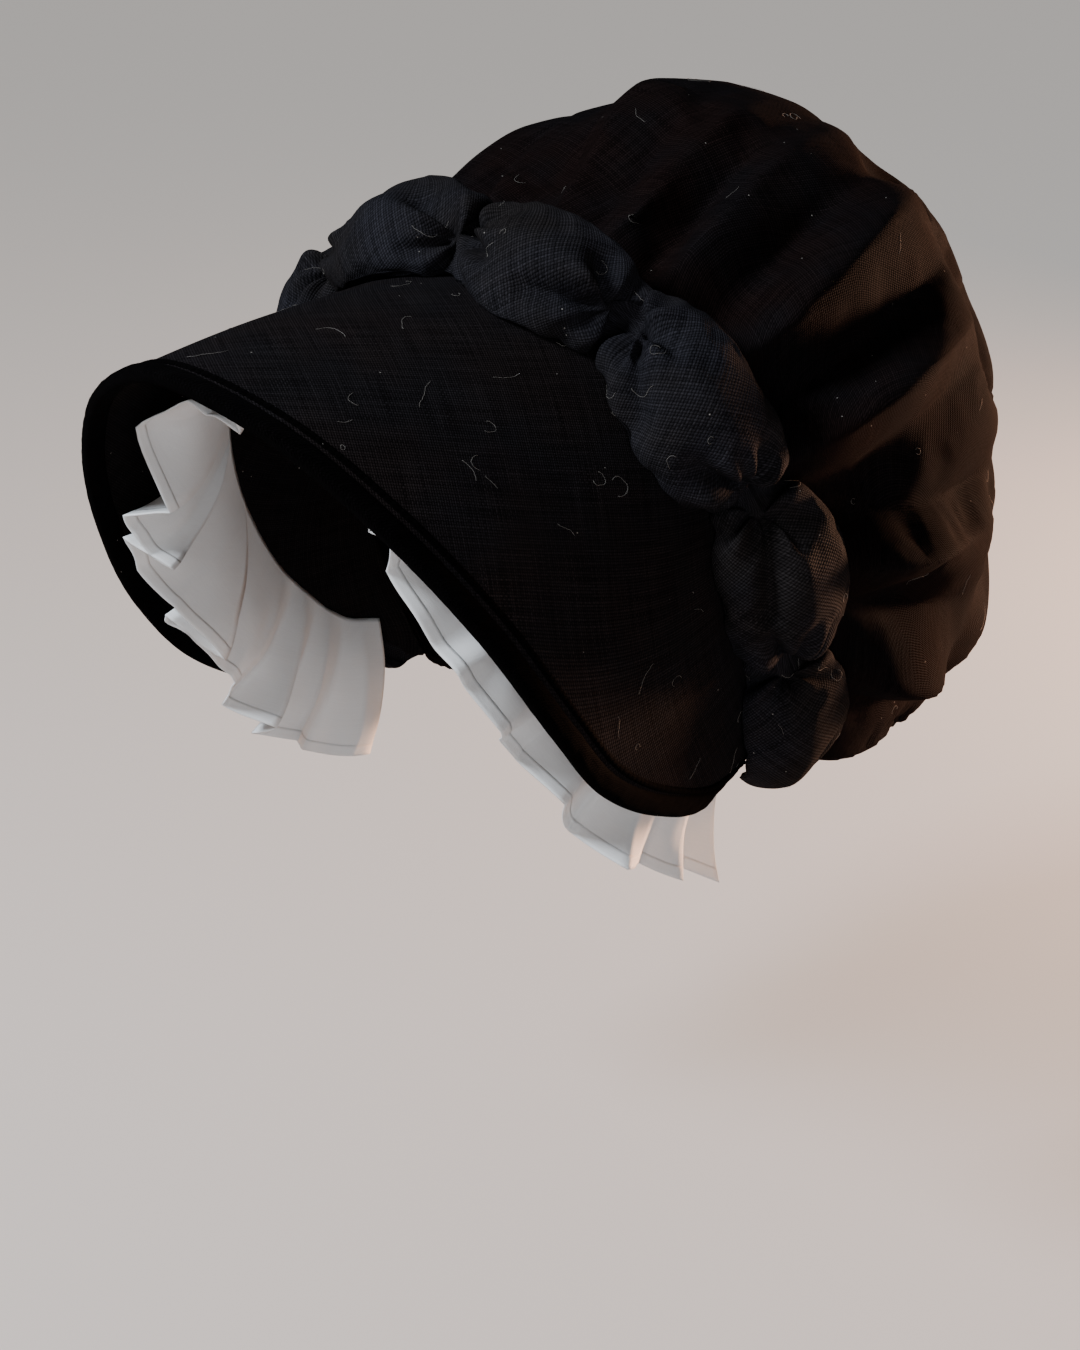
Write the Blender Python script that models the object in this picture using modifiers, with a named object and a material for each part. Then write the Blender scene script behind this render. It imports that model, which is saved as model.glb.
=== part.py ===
"""A poke bonnet as it is worn: stiff brim, corded edge, band of puffs, gathered crown, pleated frill.

Metres, +Z up, the face towards -Y, the wearer's left towards +X. The origin is the head's seat,
the middle of the head opening.
"""

import math

import bmesh
import bpy
import numpy as np

MM = 0.001
GAP = 0.3 * MM  # between two pieces that are sewn together

# The seam between brim and crown is a horseshoe arch over the head, in a plane that leans forward.
SEAM_LEAN = math.radians(16)
ARCH_HALF_WIDTH = 94 * MM
ARCH_RISE = 99 * MM  # from the widest level up to the top
ARCH_DROP = 138 * MM  # half height of the lower ellipse that the ends follow
ARCH_END = 123  # degrees round from the top, where the seam stops behind the jaw
ARCH_SQUARENESS = 2.25  # 2 is an ellipse, more is flatter on top
ARCH_SAMPLES = 600
ARCH_STEPS = 240

BRIM_WALL = 2.5 * MM
BRIM_BULGE = 3.0 * MM
BRIM_COLUMNS = 64
BRIM_ROWS = 6
BRIM_SAMPLES = 24  # along one line of the brim's face, where the puffs lie on it

PIPING_RADIUS = 2.5 * MM
PIPING_POINTS = 72
PIPING_REACH = 0.94  # share of the way to the seam's ends
NEAR_EDGE = 0.9  # a depth just inside the edge, which gives the cord its outward direction

PUFF_STATIONS = 7  # sections in one puff
PUFF_SIDES = 14
PUFF_CLEARANCE = 0.5 * MM  # over the brim's faceted face
PUFF_OVER_PIPING = 1.8 * MM  # more clearance at the ends, where the cord runs in under the band
PIPING_IN_FROM, PIPING_IN_TO = 0.84, 0.92  # shares of the seam over which that clearance grows
PUFF_PLUMPNESS = 0.55  # a power: less swells faster out of the ties

CROWN_WALL = 1.5 * MM
CROWN_RADIUS = 122 * MM  # of the cloth between its folds, at the very back
CROWN_BACK = 72 * MM  # how far behind the seam the ball of the crown has its middle
CROWN_ROWS = 15
CROWN_LAST_ROW = 0.93  # share of the way to the back, with a fan of faces behind it
CROWN_CROWDING = 1.15  # a power: more crowds the rows towards the rim
CROWN_TUCK = 0.16  # share of the way to the back over which the rim opens into the ball
FOLDS_OPEN_FROM, FOLDS_OPEN_TO = 0.02, 0.24  # shares of the way over which the folds rise
FOLDS_FADE_FROM, FOLDS_FADE_TO = 0.45, 0.95  # and over which they flatten out again
FOLD_FOOT = 1.15  # how far a fold's foot reaches, in half spans
FOLD_ROUNDNESS = 0.8  # a power: less is rounder on top
NAPE_BACK = 50 * MM  # how far behind the seam the lower edge passes the nape
NAPE_DROP = 102 * MM  # how far below the middle of the opening it is there

FRILL_WALL = 1.0 * MM
FRILL_CLEARANCE = 0.45 * MM  # under the brim's inner face
FRILL_PLEATS = 22
FRILL_ROWS = 3
PLEAT_SHAPE = (-1.0, -0.9, 0.7, 1.0, 0.9, -0.7)  # one pleat round, as shares of its depth
PLEAT_DEPTH = 7.0 * MM
FRILL_BOW = 7.0 * MM  # how far the cloth bellies in between its root and its hem

# The outer line of the brim's corded edge, from the middle of the front round to the seam's end.
EDGE_COLUMNS = ("across", "ahead", "up")
EDGE_STATIONS = (
    (0, 175, 86),
    (38, 165, 73),
    (69, 148, 45),
    (90, 128, 12),
    (101, 104, -26),
    (101, 84, -49),
    (99, 55, -66),
    (97, 30, -73),
    (93, 4, -67),
    (90, -8, -67),
)

# The puff band's section, at a gathered tie and at the fattest place of a puff.
BAND_COLUMNS = ("half_width", "rise", "under", "outward", "back", "slope")
BAND_TIE = (11, 8.5, 5.6, 7.6, 0, 34)
BAND_PUFF = (24, 16, 7.6, 12, 0, 38)

# The puffs from the wearer's right end to the left: where each ends along the seam, its size,
# and how far it has slipped forward on to the brim.
PUFF_COLUMNS = ("ends_at", "size", "slip")
PUFFS = (
    (-0.77, 0.86, 0),
    (-0.51, 1.00, 2),
    (-0.26, 0.98, 4),
    (0.01, 1.02, 7),
    (0.26, 0.96, 13),
    (0.53, 1.03, 11),
    (0.78, 1.02, 2),
    (1.00, 0.86, 0),
)

# The ball's radius round it, where it leaves the band, at its middle and towards the back.
BALL_COLUMNS = ("around", "front", "middle", "behind")
BALL_TILTS = (82, 108, 138)  # degrees from straight ahead
CROWN_BALL = (
    (0, 100, 122, 121),
    (20, 106, 118, 119),
    (45, 116, 120, 122),
    (69, 118, 116, 115),
    (89, 119, 117, 118),
    (110, 122, 121, 118),
    (132, 129, 136, 123),
    (150, 126, 130, 121),
    (180, 117, 121, 120),
)

# The crown's folds: ridges round the bag, in degrees from the top towards the wearer's left.
FOLD_COLUMNS = ("around", "height", "half_span", "turn")
CROWN_FOLDS = (
    (-163, 4, 8, 0),
    (-146, 6, 9, 0),
    (-128, 8, 9, -4),
    (-109, 9, 10, -4),
    (-89, 8, 9, -3),
    (-70, 9, 10, 3),
    (-51, 8, 9, 3),
    (-34, 5, 8, 2),
    (-18, 3, 8, 0),
    (0, 5, 8, -2),
    (17, 6, 7, -3),
    (32, 6, 7, -2),
    (49, 9, 9, -2),
    (69, 10, 9, 2),
    (89, 9, 10, 10),
    (110, 9, 10, 12),
    (130, 7, 9, 6),
    (147, 6, 8, 0),
    (163, 4, 8, 0),
    (180, 3, 8, 0),
)

# The frill: where its root is sewn to the brim, and its hem.
FRILL_COLUMNS = ("edge_share", "brim_depth", "across", "ahead", "up")
FRILL_STATIONS = (
    (0.00, 0.50, 0, 132, 66),
    (0.15, 0.50, 32, 133, 57),
    (0.28, 0.50, 51, 134, 42),
    (0.40, 0.50, 66, 129, 17),
    (0.52, 0.50, 76, 116, -14),
    (0.64, 0.50, 79, 94, -44),
    (0.74, 0.50, 80, 72, -72),
    (0.82, 0.50, 83, 48, -90),
    (0.86, 0.44, 81, 28, -101),
    (0.90, 0.30, 77, 12, -104),
)

ACROSS = np.array((1.0, 0.0, 0.0))
UP_SEAM = np.array((0.0, -math.sin(SEAM_LEAN), math.cos(SEAM_LEAN)))
BACK_SEAM = np.array((0.0, math.cos(SEAM_LEAN), math.sin(SEAM_LEAN)))


def column(table, names, name):
    """One named column of a table."""
    return np.array([row[names.index(name)] for row in table], float)


def ramp(value, start, end):
    """0 before start, 1 after end, and smooth between them."""
    value = np.clip((value - start) / (end - start), 0, 1)
    return value * value * (3 - 2 * value)


def spline(stations, shares, at):
    """A smooth curve through the stations, read at shares of its way."""
    stations, shares = np.asarray(stations, float), np.asarray(shares, float)
    slopes = np.gradient(stations, shares, axis=0)
    low = np.clip(np.searchsorted(shares, at, side="right") - 1, 0, len(shares) - 2)
    span = (shares[low + 1] - shares[low])[..., None]
    u = (np.asarray(at) - shares[low])[..., None] / span
    first, last = stations[low], stations[low + 1]
    leave, reach = slopes[low] * span, slopes[low + 1] * span
    return (
        (1 + 2 * u) * (1 - u) ** 2 * first
        + u * (1 - u) ** 2 * leave
        + u * u * (3 - 2 * u) * last
        + u * u * (u - 1) * reach
    )


def arch_outline():
    """Half of the seam's arch, from the top: lengths along it, places and outward directions."""
    angle = np.radians(np.linspace(0, ARCH_END, ARCH_SAMPLES))
    power = np.where(angle < math.pi / 2, 2 / ARCH_SQUARENESS, 1.0)
    high = np.where(angle < math.pi / 2, ARCH_RISE, ARCH_DROP)
    across = ARCH_HALF_WIDTH * np.abs(np.sin(angle)) ** power
    up = high * np.sign(np.cos(angle)) * np.abs(np.cos(angle)) ** power
    place = np.stack([across, up], -1)
    length = np.concatenate([[0], np.cumsum(np.linalg.norm(np.diff(place, axis=0), axis=1))])
    even = np.linspace(0, length[-1], ARCH_STEPS)
    place = np.stack([np.interp(even, length, place[:, k]) for k in (0, 1)], -1)
    run = np.gradient(place, even, axis=0)
    out = np.stack([-run[:, 1], run[:, 0]], -1)
    out[0] = (0, 1)
    return even, place, out / np.linalg.norm(out, axis=1)[:, None]


ARCH_LENGTHS, ARCH_PLACES, ARCH_OUT = arch_outline()
HALF_SEAM = ARCH_LENGTHS[-1]


def seam_point(along, out=0.0, back=0.0):
    """A point by its length along the seam from the top, off it outwards, and behind its plane."""
    along = np.asarray(along, float)
    side = np.where(along < 0, -1.0, 1.0)
    reach = np.abs(along)
    across = np.interp(reach, ARCH_LENGTHS, ARCH_PLACES[:, 0])
    up = np.interp(reach, ARCH_LENGTHS, ARCH_PLACES[:, 1])
    out_across = np.interp(reach, ARCH_LENGTHS, ARCH_OUT[:, 0])
    out_up = np.interp(reach, ARCH_LENGTHS, ARCH_OUT[:, 1])
    across = side * (across + out * out_across)
    up = up + out * out_up
    back = np.broadcast_to(back, np.shape(along))
    return across[..., None] * ACROSS + up[..., None] * UP_SEAM + back[..., None] * BACK_SEAM


def brim_edge(share):
    """The brim's free edge, from -1 at the wearer's right end to 1 at the left."""
    across, ahead, up = (column(EDGE_STATIONS, EDGE_COLUMNS, name) for name in EDGE_COLUMNS)
    stations = np.stack([across, -ahead, up], -1) * MM
    steps = np.linalg.norm(np.diff(stations, axis=0), axis=1)
    shares = np.concatenate([[-steps[0], 0], np.cumsum(steps)]) / steps.sum()
    mirrored = stations[1] * (-1, 1, 1)
    place = spline(np.vstack([mirrored, stations]), shares, np.abs(share))
    return place * np.stack([np.sign(share), np.ones_like(share), np.ones_like(share)], -1)


def brim_surface(share, depth, sink=0.0):
    """The brim's outer face: share goes round it, depth from 0 at the seam to 1 at the cord."""
    share, depth = np.broadcast_arrays(np.asarray(share, float), np.asarray(depth, float))
    root = seam_point(share * HALF_SEAM, 0.0, -GAP)
    edge = brim_edge(share)
    length = np.linalg.norm(edge - root, axis=-1)[..., None]
    edge = edge + (root - edge) * (2 * PIPING_RADIUS + GAP) / length
    out = seam_point(share * HALF_SEAM, 1.0, -GAP) - root
    bulge = BRIM_BULGE * 4 * depth * (1 - depth) - sink
    return root + (edge - root) * depth[..., None] + out * bulge[..., None]


def new_material(name, colour, roughness):
    material = bpy.data.materials.new(name)
    material.use_nodes = True
    shader = material.node_tree.nodes["Principled BSDF"]
    shader.inputs["Base Color"].default_value = (*colour, 1)
    shader.inputs["Roughness"].default_value = roughness
    shader.inputs["Metallic"].default_value = 0.0
    return material


def sheet_mesh(grid, wrap=False, flip=False):
    """A mesh of quads from rows of points; wrap joins the last column to the first."""
    rows, columns = grid.shape[:2]
    build = bmesh.new()
    points = [[build.verts.new(tuple(p)) for p in row] for row in grid]
    for i in range(rows - 1):
        for j in range(columns if wrap else columns - 1):
            k = (j + 1) % columns
            corners = (points[i][j], points[i][k], points[i + 1][k], points[i + 1][j])
            build.faces.new(corners[::-1] if flip else corners)
    return build, points


def to_object(name, build, material, collection):
    mesh = bpy.data.meshes.new(name)
    build.to_mesh(mesh)
    build.free()
    mesh.materials.append(material)
    mesh.shade_smooth()
    piece = bpy.data.objects.new(name, mesh)
    collection.objects.link(piece)
    return piece


def thicken(piece, wall, offset=-1.0):
    solid = piece.modifiers.new("Wall", "SOLIDIFY")
    solid.thickness = wall
    solid.offset = offset
    solid.use_even_offset = True
    solid.thickness_clamp = 1.0


def make_brim(material, collection):
    """The stiff visor: one sheet lofted from the seam to the free edge, then given its wall."""
    share = np.linspace(-1, 1, BRIM_COLUMNS + 1)
    depth = np.linspace(0, 1, BRIM_ROWS + 1)
    grid = brim_surface(share[None, :], depth[:, None])
    build, _ = sheet_mesh(grid, flip=True)
    piece = to_object("brim", build, material, collection)
    thicken(piece, BRIM_WALL)
    return piece


def make_piping(material, collection):
    """A cord rolled into the brim's edge, all the way round it."""
    share = np.linspace(-PIPING_REACH, PIPING_REACH, PIPING_POINTS)
    edge = brim_surface(share, 1.0, BRIM_WALL / 2)
    inner = brim_surface(share, NEAR_EDGE, BRIM_WALL / 2)
    run = np.gradient(edge, axis=0)
    out = edge - inner
    out -= run * ((out * run).sum(-1) / (run * run).sum(-1))[:, None]
    out /= np.linalg.norm(out, axis=1)[:, None]
    route = edge + out * (PIPING_RADIUS + GAP)
    curve = bpy.data.curves.new("brim_piping", "CURVE")
    curve.dimensions = "3D"
    line = curve.splines.new("POLY")
    line.points.add(len(route) - 1)
    for point, place in zip(line.points, route):
        point.co = (*place, 1)
    curve.bevel_depth = PIPING_RADIUS
    curve.bevel_resolution = 2
    curve.use_fill_caps = True
    curve.materials.append(material)
    piece = bpy.data.objects.new("brim_piping", curve)
    collection.objects.link(piece)
    return piece


def brim_height(along, behind):
    """How far out the brim's face lies at a length along the seam and a distance before it."""
    share = along / HALF_SEAM
    depth = np.linspace(0, 1, BRIM_SAMPLES)
    face = brim_surface(np.full_like(depth, share), depth)
    out = seam_point(along, 1.0) - seam_point(along)
    away = face - seam_point(along)
    return np.interp(-behind, -(away @ BACK_SEAM), away @ out)


def band_section(along, fullness, slip):
    """One loop round the puff band: a cushion section that slopes back on to the crown."""
    tie, puff = np.array(BAND_TIE, float), np.array(BAND_PUFF, float)
    band = dict(zip(BAND_COLUMNS, tie + (puff - tie) * fullness))
    slope = math.radians(band["slope"])
    turn = np.linspace(0, 2 * math.pi, PUFF_SIDES, endpoint=False)
    wide = -band["half_width"] * np.cos(turn)
    high = np.where(np.sin(turn) > 0, band["rise"], band["under"]) * np.sin(turn)
    out = (band["outward"] + wide * math.sin(slope) + high * math.cos(slope)) * MM
    behind = band["back"] - slip * fullness
    behind = (behind + wide * math.cos(slope) - high * math.sin(slope)) * MM
    lift = PUFF_CLEARANCE + PUFF_OVER_PIPING * ramp(abs(along) / HALF_SEAM, PIPING_IN_FROM, PIPING_IN_TO)
    out = np.where(behind < 0, np.maximum(out, brim_height(along, behind) + lift), out)
    return seam_point(np.full(PUFF_SIDES, along), out, behind)


def make_puff_band(material, collection):
    """One gathered strip over the seam: its fullness goes to nothing at each tie."""
    sections = [band_section(-HALF_SEAM, 0, 0)]
    start = -1
    for end, size, slip in PUFFS:
        for station in range(1, PUFF_STATIONS + 1):
            way = station / PUFF_STATIONS
            fullness = size * abs(math.sin(math.pi * way)) ** PUFF_PLUMPNESS
            sections.append(band_section(HALF_SEAM * (start + (end - start) * way), fullness, slip))
        start = end
    build, points = sheet_mesh(np.array(sections), wrap=True)
    build.faces.new(points[0])
    build.faces.new(points[-1][::-1])
    bmesh.ops.recalc_face_normals(build, faces=build.faces)
    return to_object("puff_band", build, material, collection)


def crown_rim(around):
    """The crown's open edge at an angle round it: along the seam, then across behind the nape."""
    side = np.where(around < 0, -1.0, 1.0)
    turn = np.abs(around)
    polar = np.degrees(np.arctan2(ARCH_PLACES[:, 0], ARCH_PLACES[:, 1]))
    end = polar[-1]
    across = np.interp(turn, polar, ARCH_PLACES[:, 0])
    up = np.interp(turn, polar, ARCH_PLACES[:, 1])
    round_nape = np.clip((turn - end) / (180 - end), 0, 1)
    across = across * np.cos(round_nape * math.pi / 2)
    up = up - (NAPE_DROP + ARCH_PLACES[-1, 1]) * np.sin(round_nape * math.pi / 2)
    return side * across, up, GAP + NAPE_BACK * ramp(round_nape, 0, 1)


def fold_height(around, way):
    """How far the gathered cloth stands off the ball: ridges between sharper valleys."""
    height = np.zeros_like(around)
    for centre, rise, span, turn in CROWN_FOLDS:
        away = (around - centre - turn * way + 180) % 360 - 180
        nearness = np.clip(1 - np.abs(away) / (FOLD_FOOT * span), 0, 1)
        height += rise * MM * nearness**FOLD_ROUNDNESS
    opening = ramp(way, FOLDS_OPEN_FROM, FOLDS_OPEN_TO)
    fading = 1 - ramp(way, FOLDS_FADE_FROM, FOLDS_FADE_TO)
    return height * opening * fading


def ball_radius(around, tilt):
    """The radius of the unfolded bag in a direction, the same on both sides."""
    turns = column(CROWN_BALL, BALL_COLUMNS, "around")
    front, middle, behind = (
        np.interp(np.abs(around), turns, column(CROWN_BALL, BALL_COLUMNS, name)) * MM
        for name in ("front", "middle", "behind")
    )
    first, second, third = np.radians(BALL_TILTS)
    radius = front + (middle - front) * ramp(tilt, first, second)
    radius = radius + (behind - middle) * ramp(tilt, second, third)
    return radius + (CROWN_RADIUS - radius) * ramp(tilt, third, math.pi)


def crown_surface(around, way):
    """The bag: from its rim the cloth opens into a ball, gathered into folds, and closes behind."""
    across, up, back = crown_rim(around)
    start = np.arccos(np.clip((CROWN_BACK - back) / CROWN_RADIUS, -1, 1))
    tilt = start + (math.pi - start) * way
    radius = ball_radius(around, tilt) + fold_height(around, way)
    turn = np.radians(around)
    ball_back = CROWN_BACK - radius * np.cos(tilt)
    ball_across = radius * np.sin(tilt) * np.sin(turn)
    ball_up = radius * np.sin(tilt) * np.cos(turn)
    open_share = ramp(way, 0, CROWN_TUCK)
    across = across + (ball_across - across) * open_share
    up = up + (ball_up - up) * open_share
    back = back + (ball_back - back) * open_share
    return across[..., None] * ACROSS + up[..., None] * UP_SEAM + back[..., None] * BACK_SEAM


def fold_columns():
    """Angles at each fold's ridge and valley, and halfway between, so that the mesh follows them."""
    ridges = sorted(column(CROWN_FOLDS, FOLD_COLUMNS, "around"))
    angles = []
    for first, last in zip(ridges, ridges[1:] + [ridges[0] + 360]):
        angles += [first + (last - first) * share for share in (0, 0.25, 0.5, 0.75)]
    return (np.array(angles) + 180) % 360 - 180


def make_crown(material, collection):
    """The gathered bag, closed at its back by a fan of faces and open at the head."""
    around = fold_columns()
    way = np.linspace(0, CROWN_LAST_ROW, CROWN_ROWS + 1) ** CROWN_CROWDING
    grid = crown_surface(*np.broadcast_arrays(around[None, :], way[:, None]))
    build, points = sheet_mesh(grid, wrap=True)
    tip = build.verts.new(tuple((CROWN_BACK + CROWN_RADIUS) * BACK_SEAM))
    last = points[-1]
    for j, corner in enumerate(last):
        build.faces.new((corner, last[(j + 1) % len(last)], tip))
    piece = to_object("crown", build, material, collection)
    thicken(piece, CROWN_WALL)
    return piece


def frill_surface(share, down, fold):
    """The frill at a share of the brim, from 0 at its root to 1 at its hem, moved by its fold."""
    shares = column(FRILL_STATIONS, FRILL_COLUMNS, "edge_share")
    places = np.array(FRILL_STATIONS, float)[:, 1:]
    depth, across, ahead, up = np.moveaxis(spline(places, shares, np.abs(share)), -1, 0)
    root = brim_surface(share, depth, BRIM_WALL + FRILL_CLEARANCE + FRILL_WALL / 2)
    hem = np.stack([np.sign(share) * across, -ahead, up], -1) * MM
    inward = seam_point(share * HALF_SEAM) - seam_point(share * HALF_SEAM, 1.0)
    flat = root + (hem - root) * down[..., None]
    flat = flat + inward * (FRILL_BOW * np.sin(math.pi * down))[..., None]
    run = np.gradient(hem, axis=1)
    run /= np.linalg.norm(run, axis=-1)[..., None]
    fall = hem - root
    fall /= np.linalg.norm(fall, axis=-1)[..., None]
    off = np.cross(run, fall)
    return flat + off * (fold * down)[..., None]


def make_frill(material, collection):
    """Pleated lawn: box pleats that are pressed flat at the root and stand open at the hem."""
    count = FRILL_PLEATS * len(PLEAT_SHAPE)
    reach = column(FRILL_STATIONS, FRILL_COLUMNS, "edge_share")[-1]
    share = np.linspace(-reach, reach, count + 1)
    fold = PLEAT_DEPTH * np.resize(PLEAT_SHAPE, count + 1)
    down = np.linspace(0, 1, FRILL_ROWS + 1)
    share, down = np.broadcast_arrays(share[None, :], down[:, None])
    grid = frill_surface(share, down, fold[None, :])
    build, _ = sheet_mesh(grid, flip=True)
    piece = to_object("frill", build, material, collection)
    thicken(piece, FRILL_WALL, 0.0)
    return piece


def main():
    for old in list(bpy.data.objects):
        bpy.data.objects.remove(old, do_unlink=True)
    collection = bpy.data.collections.new("poke_bonnet")
    bpy.context.scene.collection.children.link(collection)
    black = new_material("black_cotton", (0.012, 0.011, 0.012), 0.85)
    piping_black = new_material("black_bias_cotton", (0.010, 0.009, 0.010), 0.8)
    puff_black = new_material("black_puff_cotton", (0.013, 0.012, 0.014), 0.85)
    crown_black = new_material("black_crown_cotton", (0.013, 0.011, 0.011), 0.85)
    white = new_material("white_lawn", (0.85, 0.85, 0.84), 0.8)
    make_brim(black, collection)
    make_piping(piping_black, collection)
    make_puff_band(puff_black, collection)
    make_crown(crown_black, collection)
    make_frill(white, collection)


main()
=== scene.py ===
# %% [markdown]
# A poke bonnet of black cotton, as it is worn. The plain solids of the frame already have its true
# size and place. This lesson dresses them piece by piece: the stiff brim, its bound edge, the band of
# puffs, the gathered crown and the white pleated frill. Each cell makes one thing and says what it made.

# %% Load the frame
import math

import bpy
import numpy as np
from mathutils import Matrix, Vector
from mathutils.bvhtree import BVHTree


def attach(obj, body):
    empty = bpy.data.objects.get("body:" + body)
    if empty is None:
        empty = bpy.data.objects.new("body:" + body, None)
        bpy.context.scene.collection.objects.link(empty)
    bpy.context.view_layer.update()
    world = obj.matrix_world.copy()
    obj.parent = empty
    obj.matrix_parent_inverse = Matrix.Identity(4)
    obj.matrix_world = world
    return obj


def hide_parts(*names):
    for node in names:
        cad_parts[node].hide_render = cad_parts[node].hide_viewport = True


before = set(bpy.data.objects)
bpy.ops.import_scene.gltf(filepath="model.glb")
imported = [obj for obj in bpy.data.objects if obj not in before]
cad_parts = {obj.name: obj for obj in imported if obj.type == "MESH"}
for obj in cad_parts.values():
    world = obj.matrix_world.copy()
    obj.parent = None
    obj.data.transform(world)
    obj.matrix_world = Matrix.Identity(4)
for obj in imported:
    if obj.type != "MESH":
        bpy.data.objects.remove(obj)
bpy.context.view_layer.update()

MM = 0.001

# %% [markdown]
# Lights, cloths, puffs and folds differ from one another by a few numbers each, so they stand in tables
# whose columns have names. Two helpers read the tables: one gives a dictionary for each row, the other
# gives one column as an array.


# %% Helpers for tables
def named_rows(table, names):
    """The rows of a table, each as a dictionary by the names of its columns."""
    return [dict(zip(names, row)) for row in table]


def column(table, names, name):
    """One named column of a table."""
    return np.array([row[names.index(name)] for row in table], float)


# %% [markdown]
# The bonnet is seen from the wearer's left and from a little above. A long lens keeps the brim from
# looking too big beside the crown. The camera is aimed by its angles, because they are what a viewer
# would measure, and it stands a little under a metre from the point that it looks at.

# %% Camera
AZIMUTH, PITCH = math.radians(42), math.radians(20)
AIM = Vector((0.047, -0.053, -0.031))
CAMERA_DISTANCE = 0.9
LENS, SENSOR = 72, 36  # mm
BACKWARDS = Vector((
    math.sin(AZIMUTH) * math.cos(PITCH),
    -math.cos(AZIMUTH) * math.cos(PITCH),
    math.sin(PITCH),
))
camera = bpy.data.objects.new("camera", bpy.data.cameras.new("camera"))
camera.data.sensor_width = SENSOR
camera.data.lens = LENS
camera.location = AIM + BACKWARDS * CAMERA_DISTANCE
camera.rotation_euler = (math.pi / 2 - PITCH, 0, AZIMUTH)
bpy.context.scene.collection.objects.link(camera)
bpy.context.scene.camera = camera
print("camera at", [round(c, 3) for c in camera.location])

# %% [markdown]
# Black cloth shows its form only by its highlights, so the light matters as much as the shape. A cool
# window light stands high in front on the left, and a smaller warm one behind on the right, so low that
# it rakes across the folds of the crown and leaves the hollows between them dark. A weak third one fills
# the near side of the brim. They are area lights, whose soft edges suit cloth. The sky is weak, because
# light from all round would flatten the folds.

# %% Lights
LIGHT_COLUMNS = ("name", "place", "size", "watts", "colour")
LIGHTS = (
    ("window_light", (-0.45, -1.15, 1.05), 0.45, 40, (0.83, 0.91, 1.0)),
    ("warm_light", (0.38, 1.34, 0.0), 0.22, 80, (1.0, 0.55, 0.34)),
    ("brow_light", (1.25, -1.1, 0.1), 0.8, 10, (0.92, 0.95, 1.0)),
)
SKY_COLOUR, SKY_STRENGTH = (0.92, 0.90, 0.88, 1), 0.06


def aim_light(place):
    """The turn that points a light from its place at the bonnet."""
    return (Vector((0, 0, 0)) - Vector(place)).to_track_quat("-Z", "Y").to_euler()


for row in named_rows(LIGHTS, LIGHT_COLUMNS):
    lamp = bpy.data.lights.new(row["name"], "AREA")
    lamp.size, lamp.energy, lamp.color = row["size"], row["watts"], row["colour"]
    lamp_object = bpy.data.objects.new(row["name"], lamp)
    lamp_object.location = row["place"]
    lamp_object.rotation_euler = aim_light(row["place"])
    bpy.context.scene.collection.objects.link(lamp_object)

world = bpy.data.worlds.new("pale_room")
world.use_nodes = True
sky = world.node_tree.nodes["Background"].inputs
sky["Color"].default_value, sky["Strength"].default_value = SKY_COLOUR, SKY_STRENGTH
bpy.context.scene.world = world
print("lights:", [row[0] for row in LIGHTS])

# %% [markdown]
# A material is a small network of nodes. A few helpers keep the networks short enough to read: one adds
# a node and fills its inputs, and others use it for a sum, a change of range and a mix of colours. The
# last two make a group of nodes and place it in a material. An input is given as a number, or as the
# output of another node, which is then linked to it.


# %% Helpers for materials
def new_material(name):
    """A new material, its node tree and its shader."""
    material = bpy.data.materials.new(name)
    material.use_nodes = True
    return material, material.node_tree, material.node_tree.nodes["Principled BSDF"]


def add_node(tree, kind, inputs=(), **settings):
    """A new node. inputs maps a socket's name or number to a value, or to an output to link."""
    made = tree.nodes.new(kind)
    for name, value in settings.items():
        setattr(made, name, value)
    for name, value in dict(inputs).items():
        if isinstance(value, bpy.types.NodeSocket):
            tree.links.new(value, made.inputs[name])
        else:
            made.inputs[name].default_value = value
    return made


def add_sum(tree, operation, *values):
    """The output of a sum of numbers or outputs."""
    return add_node(tree, "ShaderNodeMath", enumerate(values), operation=operation).outputs[0]


def add_range(tree, value, given, wanted=(0, 1)):
    """A value, moved from the range that it is given in to the range that is wanted."""
    sockets = enumerate((value, *given, *wanted))
    return add_node(tree, "ShaderNodeMapRange", sockets).outputs[0]


def add_mix(tree, share, first, second):
    """A mix of two colours: share is 0 for the first and 1 for the second."""
    sockets = {"Factor": share, "A": first, "B": second}
    return add_node(tree, "ShaderNodeMix", sockets, data_type="RGBA").outputs["Result"]


def new_group(name, inputs, outputs):
    """A shader node group with named sockets. inputs are (name, kind, value), outputs (name, kind)."""
    group = bpy.data.node_groups.new(name, "ShaderNodeTree")
    for title, kind, value in inputs:
        socket = group.interface.new_socket(title, in_out="INPUT", socket_type=kind)
        if value is not None:
            socket.default_value = value
    for title, kind in outputs:
        group.interface.new_socket(title, in_out="OUTPUT", socket_type=kind)
    given = group.nodes.new("NodeGroupInput").outputs
    results = group.nodes.new("NodeGroupOutput").inputs
    return group, given, results


def add_group(tree, group, **inputs):
    """The group placed in a material, with spaces in its inputs' names written as low lines."""
    sockets = {name.replace("_", " "): value for name, value in inputs.items()}
    return add_node(tree, "ShaderNodeGroup", sockets, node_tree=group).outputs


# %% [markdown]
# Plain weave: every thread passes over one and under the next. Seen this close the single threads show
# as a fine grid, and uneven ones as thin streaks. The grid could be a picture, but a sum of sines does
# it: each set of threads is a row of ridges that rise and fall with the other set. The streaks are a
# noise that changes quickly from thread to thread and slowly along each one. The group reads the
# cloth's own flat pattern, in metres, so the threads keep their real size.

# %% The woven threads group
STREAK_ACROSS, STREAK_ALONG = 0.8, 0.03  # how fast a thread's tone changes across the threads and along


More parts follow.
